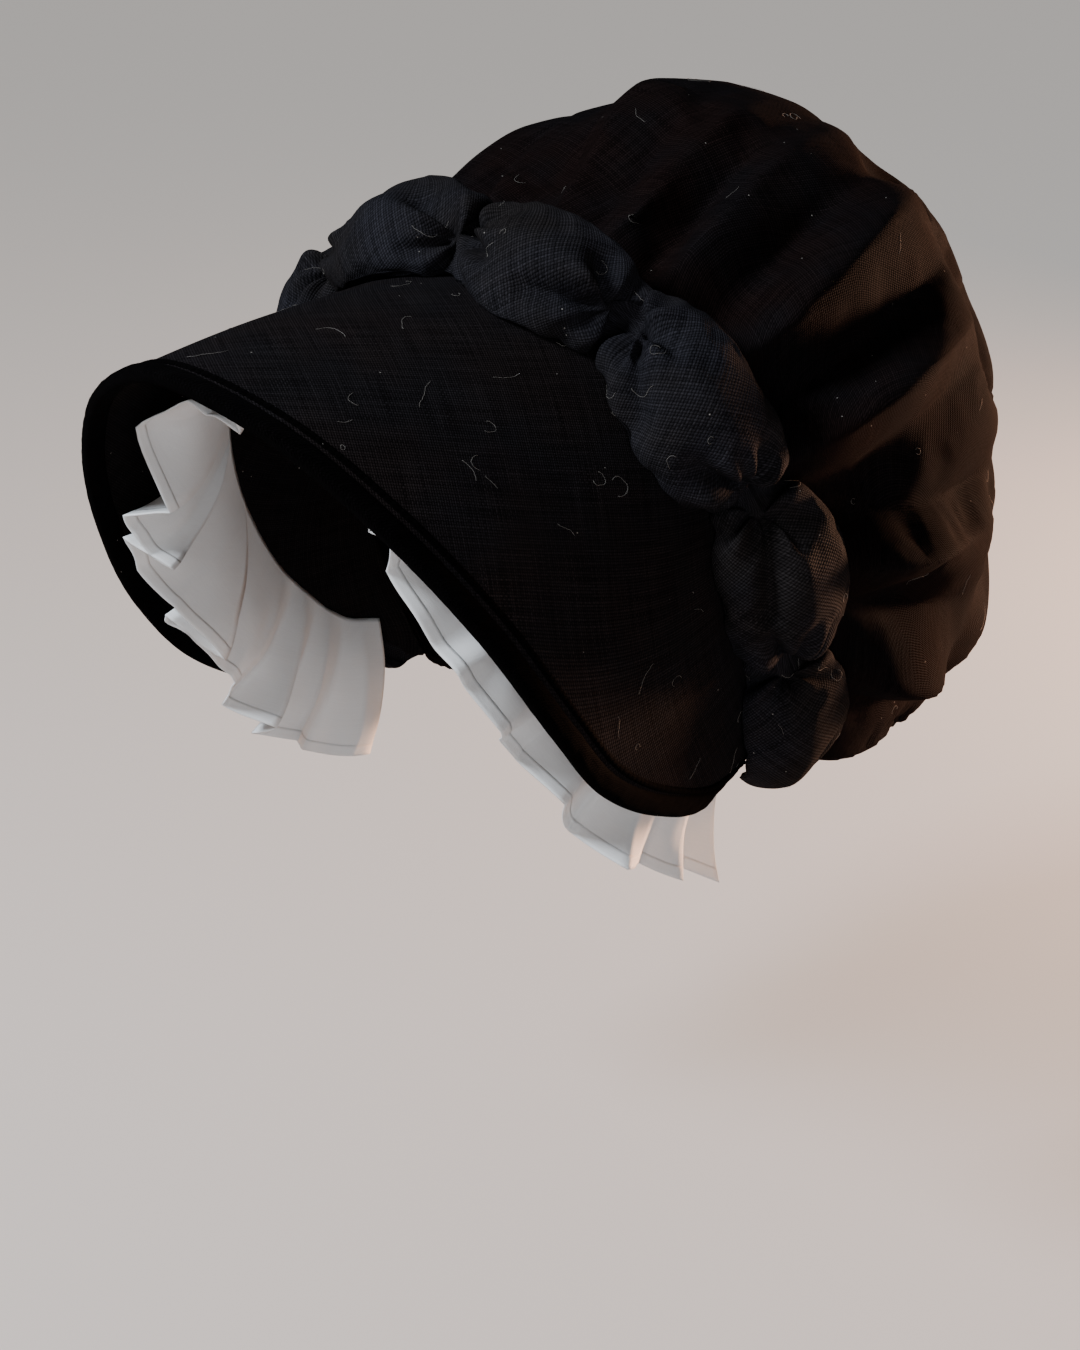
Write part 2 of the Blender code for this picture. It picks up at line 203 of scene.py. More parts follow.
def make_weave_group():
    inputs = [
        ("Cloth", "NodeSocketVector", None),
        ("Warp Pitch", "NodeSocketFloat", 0.9 * MM),
        ("Weft Pitch", "NodeSocketFloat", 0.9 * MM),
        ("Turn", "NodeSocketFloat", 0.0),
    ]
    outputs = [("Height", "NodeSocketFloat"), ("Streaks", "NodeSocketFloat")]
    group, given, results = new_group("woven threads", inputs, outputs)
    place = {"Vector": given["Cloth"], "Angle": given["Turn"]}
    turned = add_node(group, "ShaderNodeVectorRotate", place, rotation_type="Z_AXIS")
    axes = add_node(group, "ShaderNodeSeparateXYZ", {0: turned.outputs[0]}).outputs
    counts, waves, ridges, streaks = [], [], [], []
    for axis, pitch in ((0, "Warp Pitch"), (1, "Weft Pitch")):
        count = add_sum(group, "DIVIDE", axes[axis], given[pitch])
        wave = add_sum(group, "SINE", add_sum(group, "MULTIPLY", count, math.pi))
        counts.append(count)
        waves.append(wave)
        ridges.append(add_sum(group, "ABSOLUTE", wave))
    crossing = add_sum(group, "MULTIPLY", add_sum(group, "MULTIPLY", waves[0], waves[1]), 0.5)
    warp = add_sum(group, "ADD", add_sum(group, "MULTIPLY", ridges[0], 0.5), crossing)
    weft = add_sum(group, "SUBTRACT", add_sum(group, "MULTIPLY", ridges[1], 0.5), crossing)
    group.links.new(add_sum(group, "MAXIMUM", warp, weft), results["Height"])
    for across, along in ((0, 1), (1, 0)):
        quick = add_sum(group, "MULTIPLY", counts[across], STREAK_ACROSS)
        slow = add_sum(group, "MULTIPLY", counts[along], STREAK_ALONG)
        place = add_node(group, "ShaderNodeCombineXYZ", {0: quick, 1: slow}).outputs[0]
        noise = add_node(group, "ShaderNodeTexNoise", {"Vector": place, "Scale": 1.0, "Detail": 2.0})
        streaks.append(noise.outputs[0])
    over = add_sum(group, "GREATER_THAN", warp, weft)
    mixed = add_node(group, "ShaderNodeMix", {"Factor": over, "A": streaks[1], "B": streaks[0]})
    group.links.new(mixed.outputs[0], results["Streaks"])
    return group


weave_group = make_weave_group()
print("group:", weave_group.name, "with", len(weave_group.nodes), "nodes")

# %% [markdown]
# Black cloth gathers dust. Specks of lint sit on it, and its dye is a little browner here and there.
# Both are masks over the surface, so they are one group that every cloth of the bonnet shares.

# %% The dust and dye group
BARE_SHARE = 0.72  # of the cells that could hold a speck, and don't
PATCH_SCALE, PATCH_DETAIL = 28.0, 3.0


def make_dust_group():
    inputs = [("Speck Spacing", "NodeSocketFloat", 6 * MM), ("Speck Size", "NodeSocketFloat", 0.06)]
    outputs = [("Specks", "NodeSocketFloat"), ("Patches", "NodeSocketFloat")]
    group, given, results = new_group("dust and dye", inputs, outputs)
    place = add_node(group, "ShaderNodeTexCoord").outputs["Object"]
    scale = add_sum(group, "DIVIDE", 1.0, given["Speck Spacing"])
    spots = add_node(group, "ShaderNodeTexVoronoi", {"Vector": place, "Scale": scale})
    near = add_sum(group, "LESS_THAN", spots.outputs["Distance"], given["Speck Size"])
    chosen = add_node(group, "ShaderNodeSeparateColor", {0: spots.outputs["Color"]}).outputs[0]
    some = add_sum(group, "GREATER_THAN", chosen, BARE_SHARE)
    group.links.new(add_sum(group, "MULTIPLY", near, some), results["Specks"])
    patches = {"Vector": place, "Scale": PATCH_SCALE, "Detail": PATCH_DETAIL}
    group.links.new(add_node(group, "ShaderNodeTexNoise", patches).outputs[0], results["Patches"])
    return group


dust_group = make_dust_group()
print("group:", dust_group.name, "with", len(dust_group.nodes), "nodes")

# %% [markdown]
# The bonnet's cotton is one kind of cloth cut four ways, with a plainer one for the lining. Its
# material mixes a blue-black with a browner black in patches, lets the streaks of the threads change
# its tone, darkens the gaps between the threads and lightens their tops as painted shade of the weave,
# and adds pale specks. The faint fuzz that catches light at a grazing angle is the shader's own sheen.
# It is kept very low, as the gloss is, because a light behind black cloth would else turn it grey. What
# differs from piece to piece is a row in a table: two colours, the pitch of the threads and the relief
# in millimetres, the grain's turn in degrees.

# %% Black cotton
COTTON_COLUMNS = ("name", "cool", "warm", "warp", "weft", "turn", "relief", "gloss")
COTTONS = (
    ("brim_cotton", (0.0088, 0.0078, 0.0086), (0.0100, 0.0076, 0.0076), 0.97, 0.82, 0, 0.20, 0.006),
    ("bias_cotton", (0.0016, 0.0014, 0.0016), (0.0018, 0.0014, 0.0014), 0.85, 0.85, 45, 0.18, 0.004),
    ("puff_cotton", (0.0135, 0.0130, 0.0160), (0.0130, 0.0112, 0.0112), 0.90, 0.90, 40, 0.30, 0.012),
    ("crown_cotton", (0.0055, 0.0044, 0.0048), (0.0072, 0.0041, 0.0038), 0.90, 0.86, 16, 0.22, 0.006),
    ("lining_cotton", (0.0060, 0.0052, 0.0056), (0.0070, 0.0056, 0.0052), 0.90, 0.90, 0, 0.12, 0.010),
)
DUST_COLOUR = (0.22, 0.20, 0.18, 1)
STREAK_TONES = (0.5, 1.8)  # times the dye's colour, for the darkest and the lightest thread
# painted shade of the weave: times the dye's colour, darker in the gaps and lighter on the threads' tops
WEAVE_SHADE_TONES = (0.15, 1.4)  # in the gaps between the threads, and on top of them
THREAD_ROUGHNESS = (0.95, 0.68)  # in the gaps, and on top


def make_cotton(name, cool, warm, warp, weft, turn, relief, gloss):
    material, tree, shader = new_material(name)
    pattern = add_node(tree, "ShaderNodeUVMap", uv_map="Cloth").outputs[0]
    pitches = {"Warp_Pitch": warp * MM, "Weft_Pitch": weft * MM}
    threads = add_group(tree, weave_group, Cloth=pattern, Turn=math.radians(turn), **pitches)
    dust = add_group(tree, dust_group, Speck_Spacing=5.5 * MM, Speck_Size=0.045)
    dye = add_mix(tree, add_range(tree, dust["Patches"], (0.38, 0.64)), (*cool, 1), (*warm, 1))
    streak = add_range(tree, threads["Streaks"], (0.3, 0.75), STREAK_TONES)
    # Painted shade: the tone follows the threads' height, so the gaps between them are darker.
    depth = add_range(tree, threads["Height"], (0, 1), WEAVE_SHADE_TONES)
    tone = {0: dye, "Scale": add_sum(tree, "MULTIPLY", streak, depth)}
    shade = add_node(tree, "ShaderNodeVectorMath", tone, operation="SCALE").outputs[0]
    tree.links.new(add_mix(tree, dust["Specks"], shade, DUST_COLOUR), shader.inputs["Base Color"])
    rough = add_range(tree, threads["Height"], (0, 1), THREAD_ROUGHNESS)
    tree.links.new(rough, shader.inputs["Roughness"])
    ridges = {"Height": threads["Height"], "Strength": 0.9, "Distance": relief * MM}
    tree.links.new(add_node(tree, "ShaderNodeBump", ridges).outputs[0], shader.inputs["Normal"])
    shader.inputs["Sheen Weight"].default_value = 0.003
    shader.inputs["Sheen Roughness"].default_value = 0.55
    shader.inputs["Sheen Tint"].default_value = (0.75, 0.72, 0.72, 1)
    shader.inputs["Specular IOR Level"].default_value = gloss
    return material


cottons = {row["name"]: make_cotton(**row) for row in named_rows(COTTONS, COTTON_COLUMNS)}
print("cottons:", sorted(cottons))

# %% [markdown]
# The frill is lawn, a thin starched cotton whose threads are too fine to count. Light passes through
# it and softens its shadows, which the shader's subsurface does. Its alpha could make it airy, but the
# folds lie two and three deep, so it stays solid.

# %% White lawn
LAWN_COLOUR = (0.86, 0.855, 0.84)
LAWN_PITCH, LAWN_RELIEF = 0.38 * MM, 0.05 * MM


def make_lawn(name):
    material, tree, shader = new_material(name)
    pattern = add_node(tree, "ShaderNodeUVMap", uv_map="Cloth").outputs[0]
    pitches = {"Warp_Pitch": LAWN_PITCH, "Weft_Pitch": LAWN_PITCH}
    threads = add_group(tree, weave_group, Cloth=pattern, Turn=0.0, **pitches)
    dust = add_group(tree, dust_group, Speck_Spacing=9 * MM, Speck_Size=0.03)
    streak = add_range(tree, threads["Streaks"], (0.3, 0.7), (0.93, 1.0))
    patch = add_range(tree, dust["Patches"], (0.35, 0.65), (0.96, 1.0))
    tone = {0: LAWN_COLOUR, "Scale": add_sum(tree, "MULTIPLY", streak, patch)}
    tint = add_node(tree, "ShaderNodeVectorMath", tone, operation="SCALE")
    tree.links.new(tint.outputs[0], shader.inputs["Base Color"])
    ridges = {"Height": threads["Height"], "Strength": 0.6, "Distance": LAWN_RELIEF}
    tree.links.new(add_node(tree, "ShaderNodeBump", ridges).outputs[0], shader.inputs["Normal"])
    shader.inputs["Roughness"].default_value = 0.8
    shader.inputs["Subsurface Weight"].default_value = 0.35
    shader.inputs["Subsurface Radius"].default_value = (1.0, 0.95, 0.9)
    shader.inputs["Subsurface Scale"].default_value = 1.5 * MM
    shader.inputs["Sheen Weight"].default_value = 0.08
    return material


lawn = make_lawn("white_lawn")
print("lawn:", lawn.name)

# %% [markdown]
# Every piece hangs on one curve: the seam between brim and crown, a horseshoe arch that leans forward
# over the head. It could be drawn by hand, but two half ellipses with one power for their squareness
# give it from four sizes. A point of the bonnet is then a length along the seam, a distance out from
# it, and a distance behind its plane.

# %% The seam
SEAM_LEAN = math.radians(16)
ARCH_HALF_WIDTH = 94 * MM
ARCH_RISE = 99 * MM  # from the widest level up to the top
ARCH_DROP = 138 * MM  # half height of the lower ellipse that the ends follow
ARCH_END = 123  # degrees round from the top, where the seam stops behind the jaw
ARCH_SQUARENESS = 2.25
ROUGH_STEPS, EVEN_STEPS = 600, 240  # places by angle, then by length, along half of the arch
ACROSS = np.array((1.0, 0.0, 0.0))
UP_SEAM = np.array((0.0, -math.sin(SEAM_LEAN), math.cos(SEAM_LEAN)))
BACK_SEAM = np.array((0.0, math.cos(SEAM_LEAN), math.sin(SEAM_LEAN)))


def arch_outline():
    """Half of the seam's arch, from the top: lengths along it, places and outward directions."""
    angle = np.radians(np.linspace(0, ARCH_END, ROUGH_STEPS))
    power = np.where(angle < math.pi / 2, 2 / ARCH_SQUARENESS, 1.0)
    high = np.where(angle < math.pi / 2, ARCH_RISE, ARCH_DROP)
    across = ARCH_HALF_WIDTH * np.abs(np.sin(angle)) ** power
    up = high * np.sign(np.cos(angle)) * np.abs(np.cos(angle)) ** power
    place = np.stack([across, up], -1)
    length = np.concatenate([[0], np.cumsum(np.linalg.norm(np.diff(place, axis=0), axis=1))])
    even = np.linspace(0, length[-1], EVEN_STEPS)
    place = np.stack([np.interp(even, length, place[:, k]) for k in (0, 1)], -1)
    run = np.gradient(place, even, axis=0)
    out = np.stack([-run[:, 1], run[:, 0]], -1)
    out[0] = (0, 1)
    return even, place, out / np.linalg.norm(out, axis=1)[:, None]


ARCH_LENGTHS, ARCH_PLACES, ARCH_OUT = arch_outline()
HALF_SEAM = ARCH_LENGTHS[-1]


def seam_point(along, out=0.0, back=0.0):
    """A point by its length along the seam from the top, off it outwards, and behind its plane."""
    along = np.asarray(along, float)
    side = np.where(along < 0, -1.0, 1.0)
    reach = np.abs(along)
    across = np.interp(reach, ARCH_LENGTHS, ARCH_PLACES[:, 0])
    up = np.interp(reach, ARCH_LENGTHS, ARCH_PLACES[:, 1])
    out_across = np.interp(reach, ARCH_LENGTHS, ARCH_OUT[:, 0])
    out_up = np.interp(reach, ARCH_LENGTHS, ARCH_OUT[:, 1])
    across = side * (across + out * out_across)
    up = up + out * out_up
    back = np.broadcast_to(back, np.shape(across))
    return across[..., None] * ACROSS + up[..., None] * UP_SEAM + back[..., None] * BACK_SEAM


print("seam:", round(2 * HALF_SEAM / MM), "mm long")

# %% [markdown]
# Three helpers serve all the shapes that follow: a step that rises smoothly from one place to another,
# the direction of a vector without its length, and a smooth curve through a few given places.


# %% Helpers for shapes
def ramp(value, start, end):
    """0 before start, 1 after end, and smooth between them."""
    value = np.clip((value - start) / (end - start), 0, 1)
    return value * value * (3 - 2 * value)


def unit(vectors):
    """The same directions, with length 1."""
    return vectors / np.linalg.norm(vectors, axis=-1, keepdims=True)


def spline(stations, shares, at):
    """A smooth curve through the stations, read at shares of its way."""
    stations, shares = np.asarray(stations, float), np.asarray(shares, float)
    slopes = np.gradient(stations, shares, axis=0)
    low = np.clip(np.searchsorted(shares, at, side="right") - 1, 0, len(shares) - 2)
    span = (shares[low + 1] - shares[low])[..., None]
    u = (np.asarray(at) - shares[low])[..., None] / span
    first, last = stations[low], stations[low + 1]
    leave, reach = slopes[low] * span, slopes[low + 1] * span
    return (
        (1 + 2 * u) * (1 - u) ** 2 * first
        + u * (1 - u) ** 2 * leave
        + u * u * (3 - 2 * u) * last
        + u * u * (u - 1) * reach
    )


# %% [markdown]
# The brim is a stiff visor between the seam and a free edge. Its edge is a smooth curve through ten
# places from the middle of the front to the seam's end, the same on both sides, and its face is lofted
# from seam to edge with a slight bulge. A small table holds the places, so that a reader can change the
# pattern as a milliner would.

# %% The brim's surface
EDGE_COLUMNS = ("across", "ahead", "up")  # mm
EDGE_STATIONS = (
    (0, 175, 86),
    (38, 165, 73),
    (69, 148, 45),
    (90, 128, 12),
    (101, 104, -26),
    (101, 84, -49),
    (99, 55, -66),
    (97, 30, -73),
    (93, 4, -67),
    (90, -8, -67),
)
BRIM_WALL = 2.5 * MM
BRIM_BULGE = 3.0 * MM
EDGE_ROLL = 2.5 * MM  # radius of the cord in the edge
SEWN_GAP = 0.3 * MM  # between two pieces that are sewn together


def brim_edge(share):
    """The brim's free edge, from -1 at the wearer's right end to 1 at the left."""
    across, ahead, up = (column(EDGE_STATIONS, EDGE_COLUMNS, name) for name in EDGE_COLUMNS)
    stations = np.stack([across, -ahead, up], -1) * MM
    steps = np.linalg.norm(np.diff(stations, axis=0), axis=1)
    shares = np.concatenate([[-steps[0], 0], np.cumsum(steps)]) / steps.sum()
    mirrored = stations[1] * (-1, 1, 1)
    place = spline(np.vstack([mirrored, stations]), shares, np.abs(share))
    return place * np.stack([np.sign(share), np.ones_like(share), np.ones_like(share)], -1)


def brim_surface(share, depth, sink=0.0):
    """The brim's outer face: share goes round it, depth from 0 at the seam to 1 at the cord."""
    share, depth = np.broadcast_arrays(np.asarray(share, float), np.asarray(depth, float))
    root = seam_point(share * HALF_SEAM, 0.0, -SEWN_GAP)
    edge = brim_edge(share)
    length = np.linalg.norm(edge - root, axis=-1)[..., None]
    edge = edge + (root - edge) * (2 * EDGE_ROLL + SEWN_GAP) / length
    out = seam_point(share * HALF_SEAM, 1.0, -SEWN_GAP) - root
    bulge = BRIM_BULGE * 4 * depth * (1 - depth) - sink
    return root + (edge - root) * depth[..., None] + out * bulge[..., None]


brim_depth = np.linalg.norm(brim_surface(0, 1) - brim_surface(0, 0))
print("brim:", round(brim_depth / MM), "mm deep at the front")

# %% [markdown]
# Cloth is a grid of points with a flat pattern behind it. Blender keeps the pattern as a UV map. One
# helper here takes both, so that each piece says where its cloth is and how it was cut, and another
# measures the cut from the grid when the piece has no pattern of its own. Ripples are a sum of slow
# waves with seeded phases: unlike noise they have no sharp places, and they never change.

# %% Helpers for cloth
RIPPLE_WAVES, RIPPLE_SLOWEST = 14, 1.0


def flat_places(grid):
    """The cut of a grid of points: lengths along its rows and down its columns, from the middle."""
    across = np.linalg.norm(np.diff(grid, axis=1), axis=-1)
    across = np.concatenate([np.zeros((len(grid), 1)), np.cumsum(across, axis=1)], axis=1)
    across -= across[:, [across.shape[1] // 2]]
    down = np.linalg.norm(np.diff(grid, axis=0), axis=-1)
    down = np.concatenate([np.zeros((1, grid.shape[1])), np.cumsum(down, axis=0)], axis=0)
    return np.stack([across, down], -1)


def ripples(seed, shape_u, shape_v, fastest=6.0):
    """Slow seeded waves over two grids of places, between about -1 and 1."""
    chance = np.random.default_rng(seed)
    total = np.zeros(np.broadcast(shape_u, shape_v).shape)
    for _ in range(RIPPLE_WAVES):
        turn, phase = chance.uniform(0, 2 * math.pi, 2)
        speed = 2 * math.pi * chance.uniform(RIPPLE_SLOWEST, fastest)
        total += np.sin(speed * (shape_u * math.cos(turn) + shape_v * math.sin(turn)) + phase)
    return total / math.sqrt(2 * RIPPLE_WAVES)


def grid_faces(rows, columns, across):
    """The corners of each face of a grid, across faces to a row, and each face's row and column."""
    row, left = np.meshgrid(np.arange(rows - 1), np.arange(across), indexing="ij")
    start, right = row * columns, (left + 1) % columns
    corners = (start + left, start + right, start + columns + right, start + columns + left)
    return np.stack(corners, -1), row, left


def new_piece(name, places, faces, materials, cut=None):
    """A smooth piece from places and faces. cut is the flat pattern, face by face."""
    mesh = bpy.data.meshes.new(name)
    mesh.from_pydata(places.reshape(-1, 3).tolist(), [], faces)
    pattern = mesh.uv_layers.new(name="Cloth")
    if cut is not None:
        pattern.data.foreach_set("uv", cut.astype(np.float32).ravel())
    for material in materials:
        mesh.materials.append(material)
    mesh.shade_smooth()
    piece = bpy.data.objects.new(name, mesh)
    bpy.context.scene.collection.objects.link(piece)
    return piece


def cloth_piece(name, grid, materials, flat=None, closed=False, flip=False, caps=()):
    """A piece from rows of points. closed joins the last column to the first, caps fill end rows."""
    rows, columns = grid.shape[:2]
    if flat is None:
        flat = flat_places(np.concatenate([grid, grid[:, :1]], axis=1) if closed else grid)
    faces, i, j = grid_faces(rows, columns, columns if closed else columns - 1)
    cut = np.stack([flat[i, j], flat[i, j + 1], flat[i + 1, j + 1], flat[i + 1, j]], 2)
    if flip:
        faces, cut = faces[..., ::-1], cut[:, :, ::-1]
    faces, cut = faces.reshape(-1, 4).tolist(), cut.reshape(-1, 2)
    for row in caps:
        corners = np.arange(columns) + (rows - 1) * columns if row else np.arange(columns)[::-1]
        faces.append((corners[::-1] if flip else corners).tolist())
        cut = np.concatenate([cut, flat[row][:columns]])
    return new_piece(name, grid, faces, materials, cut)


def add_wall(piece, thickness, offset=-1.0, inside=0, even=True):
    """Gives a sheet its thickness. inside is the material slot of its other face."""
    wall = piece.modifiers.new("Wall", "SOLIDIFY")
    wall.thickness = thickness
    wall.offset = offset
    wall.use_even_offset = even
    wall.material_offset = inside
    wall.material_offset_rim = 0


def finish_piece(piece):
    """Every piece rides on the bonnet's one body, and says how many faces its cage has."""
    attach(piece, "root")
    print(piece.name + ":", len(piece.data.polygons), "faces in its cage")


# %% [markdown]
# The floor is a wide pale plane under the bonnet, well below it, because the bonnet is held up as a
# head holds it. A faint mottle keeps it from looking like paper. A studio lights its backdrop with
# lamps of its own. Here a little emission stands for them, so that the floor stays pale far away. It is
# kept off the bonnet, which it would light from below, by the Light Path node.

# %% The floor
FLOOR_LEVEL, FLOOR_REACH = -0.26, 9.0
FLOOR_TONES = ((0.330, 0.312, 0.298, 1), (0.350, 0.332, 0.318, 1))
FLOOR_GLOW = (0.442, 0.419, 0.400, 1)


def make_floor():
    sides = (-FLOOR_REACH, FLOOR_REACH)
    corners = np.array([[(across, along, FLOOR_LEVEL) for across in sides] for along in sides])
    material, tree, shader = new_material("pale_floor")
    place = add_node(tree, "ShaderNodeTexCoord").outputs["Object"]
    cloudy = add_node(tree, "ShaderNodeTexNoise", {"Vector": place, "Scale": 2.5, "Detail": 4.0})
    tree.links.new(add_mix(tree, cloudy.outputs[0], *FLOOR_TONES), shader.inputs["Base Color"])
    shader.inputs["Emission Color"].default_value = FLOOR_GLOW
    seen = add_node(tree, "ShaderNodeLightPath").outputs["Is Camera Ray"]
    tree.links.new(seen, shader.inputs["Emission Strength"])
    shader.inputs["Roughness"].default_value = 0.9
    floor = cloth_piece("floor", corners, [material])


make_floor()
print("floor at", round(FLOOR_LEVEL / MM), "mm")

# %% [markdown]
# The brim's cover is one piece of cloth, cut as a curved strip. On the real one the threads run at 35
# degrees to the seam over the brow and swing round by 22 degrees towards the cheeks, because the strip
# bends. So the flat pattern is built the same way: walk along the strip, turning with it, and lay each
# column across the walk. The cloth is fused to its stiffener and ripples by a few tenths of a
# millimetre only. A lining of duller cotton faces the wearer.

# %% The brim
BRIM_COLUMNS, BRIM_ROWS = 300, 56
GRAIN_TURN = -35
GRAIN_SWING, SWING_FROM, SWING_TO = 22, 0.42, 0.75
BRIM_RIPPLE = 0.35 * MM


def strip_pattern(share, depth, grid):
    """The flat pattern of a strip that bends: a walk along its middle, and columns across it."""
    middle = grid[len(grid) // 2]
    steps = np.linalg.norm(np.diff(middle, axis=0), axis=1)
    swing = GRAIN_SWING * np.sign(share) * ramp(np.abs(share), SWING_FROM, SWING_TO)
    turn = np.radians(GRAIN_TURN + swing)
    walk = np.stack([np.cos(turn), np.sin(turn)], -1)
    place = np.concatenate([[(0, 0)], np.cumsum(steps[:, None] * walk[1:], axis=0)])
    length = np.linalg.norm(grid[-1] - grid[0], axis=-1)
    side = np.stack([-np.sin(turn), np.cos(turn)], -1)
    return place[None] + side[None] * (length[None] * (depth[:, None] - 0.5))[..., None]


def make_brim():
    share = np.linspace(-1, 1, BRIM_COLUMNS)
    depth = np.linspace(0, 1, BRIM_ROWS)
    calm = np.sin(math.pi * depth[:, None]) ** 0.5
    wobble = BRIM_RIPPLE * calm * ripples(3, share[None] * 2.2, depth[:, None] * 0.7, fastest=3)
    grid = brim_surface(share[None], depth[:, None], wobble)
    pattern = strip_pattern(share, depth, grid)
    materials = [cottons["brim_cotton"], cottons["lining_cotton"]]
    piece = cloth_piece("brim_cover", grid, materials, pattern, flip=True)
    add_wall(piece, BRIM_WALL, inside=1)
    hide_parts("brim")
    finish_piece(piece)


make_brim()

# %% [markdown]
# The free edge is bound: a strip cut on the bias is rolled over a cord, and shows as a flat roll about
# eight millimetres wide with its weave running aslant. A curve with a round bevel would look like a
# pipe, so the roll is swept: at each place round the edge, a flattened loop is set across it.
# Slow puckers make it look sewn.

# %% The bound edge
EDGE_REACH = 0.94  # share of the way to the seam's ends
EDGE_PLACES = 620
ROLL_OUTSIDE, ROLL_INSIDE = 5.2 * MM, 2.9 * MM  # how far it reaches past the brim's edge, and over it
ROLL_HALF_THICK = 2.75 * MM
ROLL_SQUARENESS = 0.72  # a power: 1 is an ellipse, less is flatter
ROLL_PUCKER = 0.16 * MM


def edge_frames(share):
    """Along the brim's edge: the middle of its wall, the way out of it, and the way off its face."""
    middle = brim_surface(share, 1.0, BRIM_WALL / 2)
    out = unit(middle - brim_surface(share, 0.9, BRIM_WALL / 2))
    run = unit(np.gradient(middle, axis=0))
    out = unit(out - run * (out * run).sum(-1, keepdims=True))
    face = np.cross(run, out)
    outer = brim_surface(share, 1.0) - middle
    face *= np.sign((face * outer).sum(-1, keepdims=True))
    return middle, out, face


def loop_section(count, power):
    """A flattened loop: places across and up, between -1 and 1."""
    turn = np.linspace(0, 2 * math.pi, count, endpoint=False)
    across, up = np.cos(turn), np.sin(turn)
    return np.sign(across) * np.abs(across) ** power, np.sign(up) * np.abs(up) ** power


def sweep(route, aside, above, across, up):
    """A grid of points: at each place of a route, a section laid out along two directions."""
    return route[:, None] + aside[:, None] * across[..., None] + above[:, None] * up[..., None]


def make_bound_edge():
    share = np.linspace(-EDGE_REACH, EDGE_REACH, EDGE_PLACES)
    middle, out, face = edge_frames(share)
    across, up = loop_section(28, ROLL_SQUARENESS)
    half_wide = (ROLL_OUTSIDE + ROLL_INSIDE) / 2
    route = middle + out * ((ROLL_OUTSIDE - ROLL_INSIDE) / 2)
    pucker = ROLL_PUCKER * ripples(11, share[:, None] * 30, across[None] * 0.6, fastest=3)
    grid = sweep(route, out, face, across[None] * half_wide, up[None] * (ROLL_HALF_THICK + pucker))
    piece = cloth_piece("bound_edge", grid, [cottons["bias_cotton"]], closed=True, caps=(0, -1))
    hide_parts("brim_piping")
    finish_piece(piece)


make_bound_edge()

# %% [markdown]
# Just inside the roll, the seam that holds it makes a narrow raised welt, with a dark groove on either
# side of it. Stitches pull it in every few millimetres, so it looks like a fine rope. It is one more
# sweep, whose size beats in time with the stitches.

# %% The stitched welt
WELT_INSET = 5.6 * MM  # from the brim's edge to the welt's middle
WELT_HALF_WIDE, WELT_HALF_HIGH = 1.25 * MM, 0.85 * MM
WELT_PLACES = 1500
STITCH_PITCH = 2.7 * MM
STITCH_PULL = 0.22  # share of the welt's size that a stitch takes away


def make_welt():
    share = np.linspace(-EDGE_REACH, EDGE_REACH, WELT_PLACES)
    middle, out, face = edge_frames(share)
    length = np.linalg.norm(brim_surface(share, 1) - brim_surface(share, 0), axis=-1)
    route = brim_surface(share, 1 - WELT_INSET / length) + face * 0.1 * MM
    walked = np.concatenate([[0], np.cumsum(np.linalg.norm(np.diff(route, axis=0), axis=1))])
    chance = ripples(5, share * 20, 0)
    beat = np.cos(2 * math.pi * walked / STITCH_PITCH + 1.5 * chance)
    size = (1 - STITCH_PULL * np.clip(beat, 0, 1) ** 3)[:, None]
    across, up = loop_section(10, 1.0)
    grid = sweep(route, out, face, across * WELT_HALF_WIDE * size, up * WELT_HALF_HIGH * size)
    piece = cloth_piece("edge_welt", grid, [cottons["bias_cotton"]], closed=True, caps=(0, -1))
    finish_piece(piece)


make_welt()

# %% [markdown]
# A strip of cotton, sewn into a flat tube, is tied off seven times and laid over the seam, and each of
# its eight lengths blows up into a puff. The ties are tight: there the cloth is drawn into a knot, and
# puckers spread from it like the rays of a fan. The base is a loop swept along the seam that swells and
# shrinks. Its rear edge is pinched, because the tube was pressed flat before it was tied. A table says
# where each puff ends, as a share of the way from the seam's top, how big it is, and how many
# millimetres it has slipped forward. Two rows give the loop at a tie and in a full puff.

# %% The puffs' shape
PUFF_COLUMNS = ("ends_at", "size", "slip")
PUFFS = (
    (-0.77, 0.86, 0),
    (-0.51, 1.00, 2),
    (-0.26, 0.98, 4),
    (0.01, 1.02, 7),
    (0.26, 0.96, 13),
    (0.53, 1.03, 11),
    (0.78, 1.02, 2),
    (1.00, 0.86, 0),
)
BAND_COLUMNS = ("half_width", "rise", "under", "outward", "back", "slope")  # mm, slope in degrees
BAND_TIE = (10.0, 8.0, 4.6, 7.0, 0, 34)
BAND_PUFF = (24, 16, 7.6, 12, 0, 38)
PUFF_STATIONS, PUFF_SIDES = 34, 84
PUFF_SWELL = 0.45  # a power: less swells faster out of the ties
PUFF_CLEARANCE = 0.5 * MM
FIN_PINCH = 0.72  # how much of its thickness a puff has lost at its rear edge


def brim_height(along, behind):
    """How far out the brim's face lies at a length along the seam and a distance before it."""
    depth = np.linspace(0, 1, 24)
    face = brim_surface(np.full_like(depth, along / HALF_SEAM), depth)
    out = seam_point(along, 1.0) - seam_point(along)
    away = face - seam_point(along)
    return np.interp(-behind, -(away @ BACK_SEAM), away @ out)


